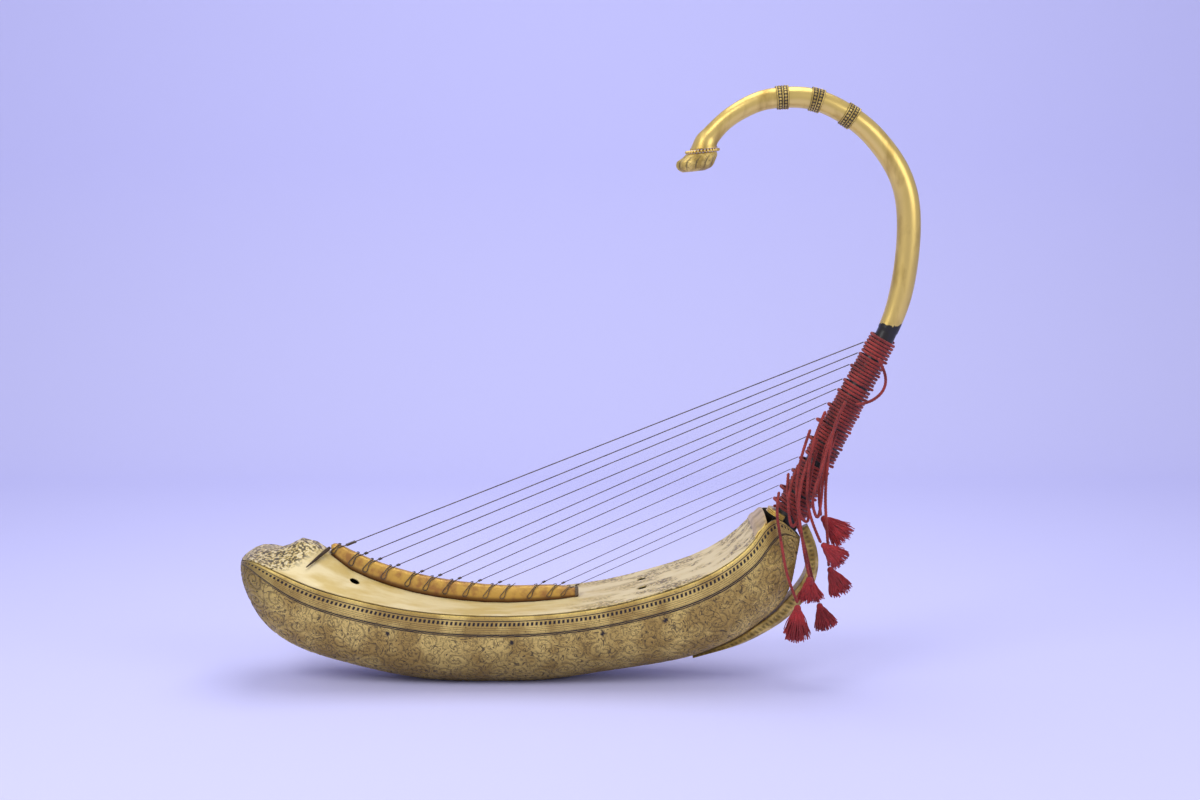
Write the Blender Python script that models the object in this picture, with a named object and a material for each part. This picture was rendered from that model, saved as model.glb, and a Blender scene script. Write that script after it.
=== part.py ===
"""Arched harp: a gilt boat-shaped body with a skin top, a bow-shaped neck and twelve strings.

The harp lies along X, with the boat's bow at -X and the neck at +X. Y runs across it and Z is up.
The origin is the middle of the small flat under the keel. All lengths are in metres.
"""

import math

import bmesh
import bpy
import numpy as np

# Boat-shaped body
RIM_LINE = [
    (-0.357, 0.174), (-0.340, 0.181), (-0.315, 0.177), (-0.248, 0.150), (-0.194, 0.134),
    (-0.124, 0.119), (-0.040, 0.110), (0.040, 0.109), (0.100, 0.113), (0.153, 0.120),
    (0.229, 0.1385), (0.300, 0.1635), (0.346, 0.191), (0.374, 0.2185), (0.392, 0.237),
    (0.404, 0.239), (0.420, 0.230), (0.4425, 0.206),
]
KEEL_LINE = [
    (-0.357, 0.174), (-0.3565, 0.154), (-0.3475, 0.122), (-0.331, 0.091), (-0.307, 0.066),
    (-0.269, 0.044), (-0.209, 0.0245), (-0.137, 0.007), (-0.055, -0.0025), (0.010, -0.0030),
    (0.060, -0.0022), (0.160, 0.011), (0.252, 0.0255), (0.295, 0.036), (0.330, 0.050),
    (0.361, 0.0665), (0.388, 0.086), (0.412, 0.108), (0.429, 0.135), (0.436, 0.165), (0.4425, 0.206),
]
BOW_HALF_WIDTH = [(0.0, 0.0), (0.012, 0.040), (0.030, 0.058), (0.060, 0.071), (0.100, 0.078), (0.160, 0.080)]
STERN_HALF_WIDTH = [
    (0.0, 0.0), (0.004, 0.014), (0.012, 0.0225), (0.024, 0.0275), (0.040, 0.032), (0.052, 0.041),
    (0.066, 0.056), (0.080, 0.0655), (0.100, 0.0710), (0.160, 0.0755), (0.260, 0.0795), (0.340, 0.080),
]
SECTION_POWER = 2.3
SECTION_DEPTHS = [0.0, 0.235, 0.25, 0.40, 0.58, 0.75, 0.88, 0.955, 0.99, 1.0]
RIM_BAND_DEPTH = 0.24
RIM_BAND_PROUD = 0.0014
HULL_WALL = 0.007
HULL_STATIONS = 38

# Skin top
SKIN_THICKNESS = 0.0016
SKIN_INSET = 0.0015
SKIN_GAP = 0.0006
SKIN_END_X = 0.374
SKIN_ACROSS = [1.0, 0.72, 0.44, 0.17, 0.0]
TENT = [
    (-0.345, 0.0), (-0.315, 0.008), (-0.290, 0.023), (-0.262, 0.045), (-0.245, 0.042), (-0.226, 0.034),
    (-0.200, 0.022), (-0.168, 0.015), (-0.136, 0.0105), (-0.103, 0.007), (-0.042, 0.003), (0.020, 0.001),
    (0.120, 0.002), (0.200, 0.0006), (0.374, 0.0),
]
SOUND_HOLE_RADIUS = 0.0065
SOUND_HOLES = [(-0.192, 0.035), (0.216, 0.026)]

# String bar and what is tied to it
BAR_START_X = -0.229
BAR_END_X = 0.125
BAR_HEIGHT = [(-0.229, 0.013), (-0.222, 0.020), (-0.195, 0.026), (-0.140, 0.026), (-0.050, 0.0245),
              (0.030, 0.022), (0.080, 0.020), (0.112, 0.014), (0.125, 0.010)]
BAR_HALF_WIDTH = [(-0.229, 0.006), (-0.220, 0.0100), (-0.195, 0.0125), (0.090, 0.0125), (0.125, 0.008)]
BAR_STEPS = 20
BAR_ARC_STEPS = 8
BAR_SQUARENESS = 0.8
TONGUE_START_X = -0.347
TONGUE_END_X = -0.2315
TONGUE_HEIGHT = 0.014
TONGUE_HALF_WIDTH = 0.009

# Neck, from the tip above the boat to the foot inside the stern
NECK_LINE = [
    (0.300, 0.757), (0.304, 0.767), (0.313, 0.779), (0.330, 0.796), (0.354, 0.812), (0.379, 0.823),
    (0.414, 0.828), (0.448, 0.826), (0.496, 0.806), (0.523, 0.787), (0.548, 0.761), (0.570, 0.729),
    (0.583, 0.695), (0.588, 0.655), (0.587, 0.614), (0.582, 0.572), (0.573, 0.533), (0.562, 0.504),
    (0.524, 0.4293), (0.486, 0.3547), (0.436, 0.2565), (0.402, 0.1897), (0.357, 0.1013),
]
NECK_RADIUS = [
    (0.0, 0.0195), (0.008, 0.0170), (0.022, 0.0137), (0.045, 0.0127), (0.090, 0.0135), (0.150, 0.0146),
    (0.240, 0.0150), (0.330, 0.0160), (0.400, 0.0167), (0.500, 0.0164), (0.560, 0.0148), (0.620, 0.0139),
]
NECK_FOOT_RADIUS = 0.0170
NECK_SIDES = 12
NECK_TIP_FRACTIONS = [0.0, 0.006, 0.013, 0.021]
NECK_STATIONS = 54
TIP_SLOPE = 0.10
AXIS_TOP = (0.562, 0.504)
AXIS_LOW = (0.393, 0.172)
AXIS_RADIUS_TOP = 0.0139
AXIS_RADIUS_GROWTH = 0.0155
BAND_CENTRES = [0.136, 0.1835, 0.2350]
BAND_LENGTH = 0.017
BAND_GAP = 0.0008
BAND_THICKNESS = 0.0018
BAND_STEPS = 6

# Leaf-shaped tip
FINIAL_SECTIONS = [
    (0.2970, 0.7515, 0.0215, 0.0180), (0.2950, 0.7470, 0.0245, 0.0205), (0.2900, 0.7410, 0.0280, 0.0225),
    (0.2885, 0.7355, 0.0272, 0.0222), (0.2880, 0.7300, 0.0235, 0.0190), (0.2865, 0.7262, 0.0160, 0.0120),
]
BEAD_RING_CENTRE = (0.2985, 0.7542)
BEAD_RING_HALF = (0.0226, 0.0196)
BEAD_RING_RADIUS = 0.0022

# Curved strut from under the stern to the neck's back
STRUT_OUTER = [
    (0.290, 0.0280), (0.324, 0.0385), (0.363, 0.0520), (0.394, 0.0680), (0.417, 0.0830), (0.440, 0.1040),
    (0.462, 0.1380), (0.4685, 0.1700), (0.464, 0.1980), (0.453, 0.2240),
]
STRUT_INNER = [
    (0.290, 0.0315), (0.324, 0.0450), (0.360, 0.0630), (0.3865, 0.0820), (0.406, 0.0970), (0.425, 0.1180),
    (0.446, 0.1460), (0.4535, 0.1720), (0.4505, 0.1930), (0.4420, 0.2170),
]
STRUT_HALF_WIDTH = [(0.0, 0.010), (0.2, 0.017), (0.75, 0.018), (1.0, 0.012)]
STRUT_STEPS = 22

# Ridged collar where both rims meet the neck
COLLAR_START = 0.3000
COLLAR_END = 0.3080
COLLAR_RIDGES = 3
COLLAR_THICKNESS = 0.0135
COLLAR_GAP = 0.0007
COLLAR_REACH = math.radians(70.0)
COLLAR_STEPS = 12

# Strings: where each leaves the bar, and where it meets its winding on the neck's straight axis
STRING_BAR_X = [-0.213, -0.187, -0.167, -0.141, -0.107, -0.081, -0.053, -0.024, 0.005, 0.068, 0.096, 0.116]
STRING_AXIAL = [0.0305, 0.0475, 0.0677, 0.0904, 0.1069, 0.1311,
                0.1578, 0.1852, 0.2179, 0.2384, 0.2667, 0.2870]
STRING_RADIAL = [0.022, 0.022, 0.025, 0.024, 0.025, 0.028, 0.032, 0.0295, 0.0275, 0.029, 0.033, 0.033]
STRING_RADIUS_FIRST = 0.0008
STRING_RADIUS_LAST = 0.0005
SPARE_TIE_X = 0.029
SPARE_TIE_LIKE = 9

# A tie's path over the bar: angle round the bar in degrees, and share of the lean towards the bow
TIE_DOWN = [(172, -1.0), (145, -0.7), (115, -0.35), (90, -0.15), (65, -0.35), (35, -0.7), (10, -1.0)]
TIE_BACK = [(10, -0.95), (35, -0.65), (65, -0.30), (86, -0.02)]
TIE_LEAN = 0.016
TIE_PROUD = 0.0008
TIE_SPACING = 0.0012
KNOT_REACH = 0.0055
KNOT_HEIGHT = 0.0030

# Lashing over the bar's rear end: places along X with heights above the bar, and reach in degrees
LASHING_SECTION = [(0.1203, 0.0006), (0.1203, 0.0020), (0.1247, 0.0020), (0.1247, 0.0006)]
LASHING_REACH = (6.0, 174.0)
LASHING_STEPS = 10

# Peg at the bar's tip: both ends, and radius at shares of its length
PEG_START = (-0.2300, -0.0120, 0.1925)
PEG_END = (-0.2570, -0.0560, 0.1745)
PEG_RADII = [(0.0, 0.0022), (0.15, 0.0027), (0.6, 0.0021), (1.0, 0.0008)]
PEG_SIDES = 8

# Red cotton windings
CORD_DIAMETER = 0.0044
WINDING_PITCH = 0.0049
WINDING_LOOP_POINTS = 12
WINDING_MOST_TURNS = 3.6
LAST_WINDING_TURNS = 2.0
FIRST_WINDING_LEAD = 3
TAIL_REACH = 0.004
TAIL_LEAD = 0.45

# Strand that stands off the neck's back: place down the axis, distance from it, angle from the front
LOOP_ROUTE = [(0.040, 0.0250, 96.0), (0.047, 0.0285, 112.0), (0.060, 0.0325, 140.0), (0.078, 0.0350, 155.0),
              (0.096, 0.0320, 140.0), (0.108, 0.0280, 115.0), (0.113, 0.0255, 100.0)]
LOOP_POINTS = 14

# Loose cords: points from the winding down to the tassel
CORD_ROUTES = [
    [(0.488, -0.0250, 0.369), (0.475, -0.0290, 0.345), (0.467, -0.0330, 0.309), (0.465, -0.0330, 0.273),
     (0.4685, -0.0310, 0.2430)],
    [(0.473, -0.0255, 0.392), (0.457, -0.0350, 0.353), (0.448, -0.0440, 0.304), (0.448, -0.0500, 0.262),
     (0.458, -0.0550, 0.228), (0.466, -0.0560, 0.2095)],
    [(0.501, -0.0262, 0.406), (0.486, -0.0350, 0.374), (0.476, -0.0420, 0.325), (0.473, -0.0430, 0.268),
     (0.477, -0.0430, 0.211), (0.4805, -0.0330, 0.1705)],
    [(0.452, -0.0265, 0.366), (0.440, -0.0370, 0.332), (0.432, -0.0460, 0.283), (0.437, -0.0540, 0.235),
     (0.445, -0.0570, 0.185), (0.4505, -0.0570, 0.1610)],
    [(0.409, -0.0285, 0.277), (0.405, -0.0460, 0.252), (0.409, -0.0600, 0.217), (0.418, -0.0680, 0.168),
     (0.4330, -0.0715, 0.1265)],
    [(0.422, -0.0275, 0.304), (0.421, -0.0400, 0.268), (0.437, -0.0420, 0.225), (0.450, -0.0380, 0.181),
     (0.462, -0.0320, 0.136), (0.4670, -0.0310, 0.1170)],
]

# Tassels: direction in the XZ plane, length, half spread and half thickness of the skirt
TASSELS = [
    ((0.72, -0.69), 0.052, 0.0200, 0.0080),
    ((0.75, -0.66), 0.044, 0.0160, 0.0075),
    ((0.45, -0.89), 0.047, 0.0180, 0.0080),
    ((0.05, -1.00), 0.038, 0.0200, 0.0070),
    ((0.00, -1.00), 0.056, 0.0190, 0.0100),
    ((0.35, -0.94), 0.042, 0.0170, 0.0080),
]
TASSEL_PROFILE = [(0.0, 0.12), (0.05, 0.24), (0.12, 0.28), (0.20, 0.22),
                  (0.32, 0.48), (0.60, 0.82), (1.0, 1.0)]
TASSEL_SIDES = 15
TASSEL_LOBES = 5
TASSEL_LOBE_DEPTH = 0.10
TASSEL_GAP = 0.0022

CLEARANCE = 0.0003
SMOOTH_ANGLE = math.radians(35.0)


def clear_scene():
    """Remove every object that the new file starts with."""
    for item in list(bpy.data.objects):
        bpy.data.objects.remove(item)


def finish(name, colour, roughness, metallic):
    """Make one principled material."""
    material = bpy.data.materials.new(name)
    material.use_nodes = True
    shader = material.node_tree.nodes["Principled BSDF"]
    shader.inputs["Base Color"].default_value = (*colour, 1.0)
    shader.inputs["Roughness"].default_value = roughness
    shader.inputs["Metallic"].default_value = metallic
    return material


def spline(points, count):
    """Read a natural cubic spline through the points at evenly spaced lengths."""
    points = np.asarray(points, float)
    knots = np.concatenate([[0.0], np.cumsum(np.linalg.norm(np.diff(points, axis=0), axis=1))])
    step = np.diff(knots)
    matrix = np.eye(len(knots))
    right = np.zeros_like(points)
    for i in range(1, len(knots) - 1):
        matrix[i, i - 1:i + 2] = step[i - 1], 2.0 * (step[i - 1] + step[i]), step[i]
        right[i] = 6.0 * ((points[i + 1] - points[i]) / step[i] - (points[i] - points[i - 1]) / step[i - 1])
    bend = np.linalg.solve(matrix, right)
    at = np.linspace(0.0, knots[-1], 1500)
    k = np.clip(np.searchsorted(knots, at) - 1, 0, len(step) - 1)
    h = step[k][:, None]
    a = (knots[k + 1] - at)[:, None] / h
    b = 1.0 - a
    dense = (a * points[k] + b * points[k + 1]
             + ((a ** 3 - a) * bend[k] + (b ** 3 - b) * bend[k + 1]) * h ** 2 / 6.0)
    return resample(dense, np.linspace(0.0, 1.0, count))


def resample(dense, fractions):
    """Read a dense line of points at fractions of its length."""
    run = np.concatenate([[0.0], np.cumsum(np.linalg.norm(np.diff(dense, axis=0), axis=1))])
    return np.stack([np.interp(np.asarray(fractions) * run[-1], run, column) for column in dense.T], axis=1)


def length_of(line):
    """Length of a line of points."""
    return float(np.linalg.norm(np.diff(line, axis=0), axis=1).sum())


def steady(table, at):
    """Interpolate a table of (place, value) pairs smoothly, without overshoot."""
    knots, values = np.asarray(table, float).T
    step = np.diff(knots)
    rise = np.diff(values) / step
    slope = np.concatenate([[rise[0]], np.zeros(len(rise) - 1), [rise[-1]]])
    same = rise[:-1] * rise[1:] > 0.0
    slope[1:-1][same] = (2.0 * rise[:-1] * rise[1:])[same] / (rise[:-1] + rise[1:])[same]
    at = np.clip(np.asarray(at, float), knots[0], knots[-1])
    k = np.clip(np.searchsorted(knots, at, side="right") - 1, 0, len(step) - 1)
    t = (at - knots[k]) / step[k]
    return ((2 * t ** 3 - 3 * t ** 2 + 1) * values[k] + (t ** 3 - 2 * t ** 2 + t) * step[k] * slope[k]
            + (3 * t ** 2 - 2 * t ** 3) * values[k + 1] + (t ** 3 - t ** 2) * step[k] * slope[k + 1])


def solid(name, points, faces, material, smooth=True):
    """Make one closed mesh object from points and faces, with its faces turned outwards."""
    mesh = bpy.data.meshes.new(name)
    body = bmesh.new()
    corners = [body.verts.new(point) for point in np.asarray(points, float).reshape(-1, 3)]
    for face in faces:
        body.faces.new([corners[i] for i in face])
    bmesh.ops.remove_doubles(body, verts=body.verts, dist=1e-6)
    bmesh.ops.recalc_face_normals(body, faces=body.faces)
    body.to_mesh(mesh)
    body.free()
    if smooth:
        mesh.shade_smooth()
        mesh.set_sharp_from_angle(angle=SMOOTH_ANGLE)
    mesh.materials.append(material)
    item = bpy.data.objects.new(name, mesh)
    bpy.context.scene.collection.objects.link(item)
    return item


def grid_faces(rows, columns, start=0, wrap=False):
    """Faces of a grid of points, row by row."""
    faces = []
    for i in range(rows - 1):
        for j in range(columns if wrap else columns - 1):
            a = start + i * columns + j
            b = start + i * columns + (j + 1) % columns
            faces.append((a, b, b + columns, a + columns))
    return faces


def loft(name, rings, material, smooth=True):
    """Skin closed rings of points into a solid with flat ends."""
    rings = np.asarray(rings, float)
    count, sides = rings.shape[:2]
    faces = grid_faces(count, sides, wrap=True)
    faces.append(tuple(range(sides))[::-1])
    faces.append(tuple(range((count - 1) * sides, count * sides)))
    return solid(name, rings, faces, material, smooth)


def between(name, lower, upper, material, smooth=True):
    """Make a solid between two grids of points of one size, joined round their edges."""
    rows, columns = lower.shape[:2]
    total = rows * columns
    faces = [face[::-1] for face in grid_faces(rows, columns)] + grid_faces(rows, columns, total)
    border = ([i * columns for i in range(rows)]
              + [(rows - 1) * columns + j for j in range(1, columns)]
              + [i * columns + columns - 1 for i in range(rows - 2, -1, -1)]
              + [j for j in range(columns - 2, 0, -1)])
    for a, b in zip(border, border[1:] + border[:1]):
        if np.linalg.norm(lower.reshape(-1, 3)[a] - lower.reshape(-1, 3)[b]) > 1e-6:
            faces.append((a, b, b + total, a + total))
    return solid(name, np.concatenate([lower.reshape(-1, 3), upper.reshape(-1, 3)]), faces, material, smooth)


def tube(name, points, radius, material, resolution=1):
    """Make a round cord along the points."""
    curve = bpy.data.curves.new(name, "CURVE")
    curve.dimensions = "3D"
    curve.bevel_depth = radius
    curve.bevel_resolution = resolution
    curve.use_fill_caps = True
    line = curve.splines.new("POLY")
    line.points.add(len(points) - 1)
    for knot, point in zip(line.points, points):
        knot.co = (*point, 1.0)
    curve.materials.append(material)
    item = bpy.data.objects.new(name, curve)
    bpy.context.scene.collection.objects.link(item)
    return item


def station_fractions():
    """Fractions along the boat, closer together towards the bow and the stern."""
    return 0.5 - 0.5 * np.cos(np.linspace(0.0, math.pi, HULL_STATIONS + 1))


def rim_stations():
    """Rim centre line and half widths at the stations."""
    dense = spline(RIM_LINE, 1200)
    line = resample(dense, station_fractions())
    run = station_fractions() * length_of(dense)
    bow = [(math.sqrt(place), width) for place, width in BOW_HALF_WIDTH]
    stern = [(math.sqrt(place), width) for place, width in STERN_HALF_WIDTH]
    half = np.minimum(steady(bow, np.sqrt(run)), steady(stern, np.sqrt(np.maximum(run[-1] - run, 0.0))))
    return line, half


def hull_grid():
    """Outer surface of the boat: a section from rim to keel to rim at each station."""
    line, half = rim_stations()
    keel = resample(spline(KEEL_LINE, 1200), station_fractions())
    depth = np.array(SECTION_DEPTHS)
    width = (1.0 - depth ** SECTION_POWER) ** (1.0 / SECTION_POWER)
    depth = np.concatenate([depth, depth[-2::-1]])
    side = np.concatenate([-width, width[-2::-1]])
    band = np.where(depth < RIM_BAND_DEPTH, RIM_BAND_PROUD, 0.0) * np.sign(side)
    drop = (keel - line)[:, None, :] * depth[None, :, None]
    swell = np.minimum(1.0, half / (0.2 * half.max()))
    y = half[:, None] * side[None, :] + swell[:, None] * band[None, :]
    return np.stack([line[:, None, 0] + drop[..., 0], y, line[:, None, 1] + drop[..., 1]], axis=2)


def build_hull(material):
    """Boat-shaped body: a hollow wooden shell, open on top, with a small flat under the keel."""
    outer = hull_grid()
    along = np.gradient(outer, axis=0)
    across = np.gradient(outer, axis=1)
    inward = np.cross(along, across)
    inward[0] = (1.0, 0.0, 0.0)
    inward[-1] = (-1.0, 0.0, 0.45)
    inward[:, [0, -1], 2] = 0.0
    inward /= np.linalg.norm(inward, axis=2, keepdims=True)
    inner = outer + inward * HULL_WALL
    line, _ = rim_stations()
    for edge in (0, -1):
        inner[:, edge, 2] = np.interp(inner[:, edge, 0], line[:, 0], line[:, 1])
    inner[0] = inner[0, 0]
    inner[-1] = inner[-1, 0]
    outer[..., 2] = np.maximum(outer[..., 2], 0.0)
    rows, columns = outer.shape[:2]
    total = rows * columns
    faces = [face[::-1] for face in grid_faces(rows, columns)] + grid_faces(rows, columns, total)
    for i in range(rows - 1):
        for a in (i * columns, i * columns + columns - 1):
            faces.append((a, a + columns, a + columns + total, a + total))
    points = np.concatenate([outer.reshape(-1, 3), inner.reshape(-1, 3)])
    return solid("hull", points, faces, material)


def skin_levels():
    """Stations, half widths and top heights of the skin, from the bow to its rear edge."""
    line, half = rim_stations()
    last = int(np.searchsorted(line[:, 0], SKIN_END_X))
    line, half = line[1:last + 1].copy(), half[1:last + 1] - SKIN_INSET
    lift = steady(TENT, line[:, 0])
    return line, half, lift


def build_skin(material):
    """Skin: a thin sheet over the rims, lifted along the middle by the string bar."""
    line, half, lift = skin_levels()
    across = np.array(SKIN_ACROSS)
    across = np.concatenate([-across, across[-2::-1]])
    shape = np.clip((1.0 - np.abs(across)) / (1.0 - SKIN_ACROSS[3]), 0.0, 1.0)
    low = np.stack([
        np.repeat(line[:, None, 0], len(across), axis=1),
        half[:, None] * across[None, :],
        line[:, None, 1] + SKIN_GAP + lift[:, None] * shape[None, :],
    ], axis=2)
    high = low + np.array([0.0, 0.0, SKIN_THICKNESS])
    skin = between("skin_top", low, high, material)
    for number, (x, y) in enumerate(SOUND_HOLES):
        for side in (-1, 1):
            bpy.ops.mesh.primitive_cylinder_add(vertices=12, radius=SOUND_HOLE_RADIUS, depth=0.08,
                                                location=(x, side * y, 0.145))
            cutter = bpy.context.object
            cutter.name = f"sound_hole_cutter_{number}_{side}"
            cutter.hide_render = True
            cutter.display_type = "WIRE"
            cut = skin.modifiers.new(cutter.name, "BOOLEAN")
            cut.operation = "DIFFERENCE"
            cut.object = cutter
    return skin


def skin_top_at(x):
    """Height of the skin's upper face along the centre line."""
    line, _, lift = skin_levels()
    return np.interp(x, line[:, 0], line[:, 1] + lift) + SKIN_GAP + SKIN_THICKNESS


def bar_point(x, angle, proud=0.0):
    """Point on the string bar's arched section, pushed outwards by proud."""
    half = steady(BAR_HALF_WIDTH, x) + proud
    height = steady(BAR_HEIGHT, x) + proud
    c, s = math.cos(angle), math.sin(angle)
    return (
        float(x),
        float(-half * math.copysign(abs(c) ** BAR_SQUARENESS, c)),
        float(skin_top_at(x) + CLEARANCE + height * abs(s) ** BAR_SQUARENESS),
    )


def build_string_bar(material):
    """String bar: a curved wooden rib with a flat foot that follows the skin's ridge."""
    line, _, _ = skin_levels()
    inside = line[(line[:, 0] > BAR_START_X) & (line[:, 0] < BAR_END_X), 0]
    stations = np.union1d(inside, np.linspace(BAR_START_X, BAR_END_X, BAR_STEPS))
    keep = np.concatenate([[True], np.diff(stations) > 0.003])
    stations = np.union1d(stations[keep], inside)
    angles = np.linspace(0.0, math.pi, BAR_ARC_STEPS + 1)
    rings = [[bar_point(x, angle) for angle in angles] for x in stations]
    return loft("string_bar", rings, material)


def build_tongue(material):
    """Wooden tongue inside the bow that carries the bar's front end and lifts the skin."""
    line, _, lift = skin_levels()
    inside = line[(line[:, 0] > TONGUE_START_X) & (line[:, 0] < TONGUE_END_X), 0]
    rings = []
    for x in np.concatenate([[TONGUE_START_X], inside, [TONGUE_END_X]]):
        top = float(np.interp(x, line[:, 0], line[:, 1] + lift))
        half = TONGUE_HALF_WIDTH
        low = top - TONGUE_HEIGHT
        rings.append([(x, -half, top), (x, half, top), (x, half, low), (x, -half, low)])
    return loft("bar_tongue", rings, material, smooth=False)


def neck_stations():
    """Neck centre line, radius and frame vectors at evenly spaced stations."""
    dense = spline(NECK_LINE, 1500)
    fractions = neck_fractions()
    line = resample(dense, fractions)
    run = fractions * length_of(dense)
    radius = steady(NECK_RADIUS, run)
    below = (line - AXIS_TOP) @ axis_down()
    straight = (below > 0.0) & (line[:, 1] < AXIS_TOP[1])
    radius[straight] = AXIS_RADIUS_TOP + AXIS_RADIUS_GROWTH * below[straight]
    radius[-1] = NECK_FOOT_RADIUS
    return line, radius


def neck_fractions():
    """Fractions along the neck, closer together at the flared tip."""
    return np.concatenate([NECK_TIP_FRACTIONS, np.linspace(0.034, 1.0, NECK_STATIONS)])


def axis_down():
    """Unit vector down the neck's straight part, in the XZ plane."""
    down = np.array(AXIS_LOW) - np.array(AXIS_TOP)
    return down / np.linalg.norm(down)


def axis_frame():
    """Origin, downward axis, forward and near-side vectors of the neck's straight part."""
    down = axis_down()
    origin = np.array([AXIS_TOP[0], 0.0, AXIS_TOP[1]])
    front = np.array([down[1], 0.0, -down[0]])
    near = np.array([0.0, -1.0, 0.0])
    return origin, np.array([down[0], 0.0, down[1]]), front, near


def rings_along(line, radii, first=None, sides=NECK_SIDES):
    """Rings of points square to a line in the XZ plane; first may give the first ring's own direction."""
    tangent = np.gradient(line, axis=0)
    if first is not None:
        tangent[0] = first
    tangent /= np.linalg.norm(tangent, axis=1, keepdims=True)
    normal = np.stack([-tangent[:, 1], tangent[:, 0]], axis=1)
    turn = np.linspace(0.0, 2.0 * math.pi, sides, endpoint=False)
    out = radii[:, None] * np.cos(turn)[None, :]
    return np.stack([
        line[:, None, 0] + out * normal[:, None, 0],
        np.outer(radii, np.sin(turn)),
        line[:, None, 1] + out * normal[:, None, 1],
    ], axis=2)


def build_neck(material):
    """Neck: one bow-shaped branch, from the flared tip over the arch and down into the stern."""
    line, radius = neck_stations()
    return loft("neck", rings_along(line, radius, first=(-TIP_SLOPE, 1.0)), material)


def build_band(number, centre, material):
    """Relief band round the neck's arch."""
    line, radius = neck_stations()
    run = np.concatenate([[0.0], np.cumsum(np.linalg.norm(np.diff(line, axis=0), axis=1))])
    places = centre + np.linspace(-0.5, 0.5, BAND_STEPS + 1) * BAND_LENGTH
    part = resample(line, places / run[-1])
    inner_radius = np.interp(places, run, radius) + BAND_GAP
    swell = 1.0 + 0.35 * np.cos(np.linspace(0.0, 4.0 * math.pi, BAND_STEPS + 1))
    inner = rings_along(part, inner_radius)
    outer = rings_along(part, inner_radius + BAND_THICKNESS * swell / 1.35)
    rings = np.concatenate([outer, inner[::-1]])
    rows, sides = rings.shape[:2]
    faces = grid_faces(rows, sides, wrap=True)
    last = (rows - 1) * sides
    faces += [(last + j, last + (j + 1) % sides, (j + 1) % sides, j) for j in range(sides)]
    return solid(f"neck_band_{number}", rings, faces, material)


def build_finial(material):
    """Finial: the flared leaf-shaped foot at the neck's tip."""
    turn = np.linspace(0.0, 2.0 * math.pi, NECK_SIDES, endpoint=False)
    rings = []
    for x, z, half_x, half_y in FINIAL_SECTIONS:
        out = half_x * np.cos(turn)
        rings.append(np.stack([x + out, half_y * np.sin(turn), z + TIP_SLOPE * out], axis=1))
    return loft("finial", rings, material)


def build_bead_ring(material):
    """Ring between the neck's tip and the finial."""
    turn = np.linspace(0.0, 2.0 * math.pi, 20, endpoint=False)
    ring = np.linspace(0.0, 2.0 * math.pi, 6, endpoint=False)
    x0, z0 = BEAD_RING_CENTRE
    grid = np.array([[
        (x0 + (BEAD_RING_HALF[0] + BEAD_RING_RADIUS * math.cos(b)) * math.cos(a),
         (BEAD_RING_HALF[1] + BEAD_RING_RADIUS * math.cos(b)) * math.sin(a),
         z0 + BEAD_RING_RADIUS * math.sin(b) + TIP_SLOPE * BEAD_RING_HALF[0] * math.cos(a))
        for b in ring] for a in turn])
    rows, columns = grid.shape[:2]
    faces = grid_faces(rows, columns, wrap=True)
    last = (rows - 1) * columns
    faces += [(last + j, last + (j + 1) % columns, (j + 1) % columns, j) for j in range(columns)]
    return solid("finial_ring", grid, faces, material)


def build_strut(material):
    """Strut: a curved gilt rib from under the stern round to the neck's back."""
    outer = spline(STRUT_OUTER, STRUT_STEPS)
    inner = spline(STRUT_INNER, STRUT_STEPS)
    half = steady(STRUT_HALF_WIDTH, np.linspace(0.0, 1.0, STRUT_STEPS))
    rings = []
    for (x_out, z_out), (x_in, z_in), y in zip(outer, inner, half):
        x_mid, z_mid = 0.35 * x_in + 0.65 * x_out, 0.35 * z_in + 0.65 * z_out
        rings.append([(x_in, -0.8 * y, z_in), (x_mid, -y, z_mid), (x_out, -0.6 * y, z_out),
                      (x_out, 0.6 * y, z_out), (x_mid, y, z_mid), (x_in, 0.8 * y, z_in)])
    return loft("rear_strut", rings, material)


def build_collar(material):
    """Ridged collar in front of the neck, where the two rims meet."""
    origin, down, front, near = axis_frame()
    inner_radius = AXIS_RADIUS_TOP + AXIS_RADIUS_GROWTH * COLLAR_END + COLLAR_GAP
    profile = [(0.0, COLLAR_START), (0.0, COLLAR_END)]
    for k in range(2 * COLLAR_RIDGES + 1):
        share = k / (2 * COLLAR_RIDGES)
        height = COLLAR_THICKNESS * (1.0 if k % 2 else 0.78)
        profile.append((height, COLLAR_END + (COLLAR_START - COLLAR_END) * share))
    rings = []
    for angle in np.linspace(-COLLAR_REACH, COLLAR_REACH, COLLAR_STEPS + 1):
        taper = 0.45 + 0.55 * math.cos(0.5 * angle * math.pi / COLLAR_REACH)
        direction = front * math.cos(angle) + near * math.sin(angle)
        rings.append([origin + down * place + direction * (inner_radius + height * taper)
                      for height, place in profile])
    return loft("collar", rings, material)


def build_bar_lashing(material):
    """Lashing over the bar's rear end."""
    rings = []
    for angle in np.radians(np.linspace(*LASHING_REACH, LASHING_STEPS)):
        rings.append([bar_point(x, angle, proud) for x, proud in LASHING_SECTION])
    return loft("bar_lashing", rings, material)


def tie_points(x, radius):
    """Path of a tie: far foot, over the bar's top, near foot, and back up to the knot on top."""
    proud = radius + TIE_PROUD
    back = TIE_SPACING + 2.0 * radius
    points = [bar_point(x + TIE_LEAN * lean, math.radians(angle), proud) for angle, lean in TIE_DOWN]
    points += [bar_point(x + TIE_LEAN * lean + back, math.radians(angle), proud) for angle, lean in TIE_BACK]
    points.append(bar_point(x + KNOT_REACH, math.radians(90.0), radius + KNOT_HEIGHT))
    return points


def string_radius(number):
    """Strings get thinner from the first, longest one to the last."""
    share = (number - 1) / (len(STRING_BAR_X) - 1)
    return STRING_RADIUS_FIRST + (STRING_RADIUS_LAST - STRING_RADIUS_FIRST) * share


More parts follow.
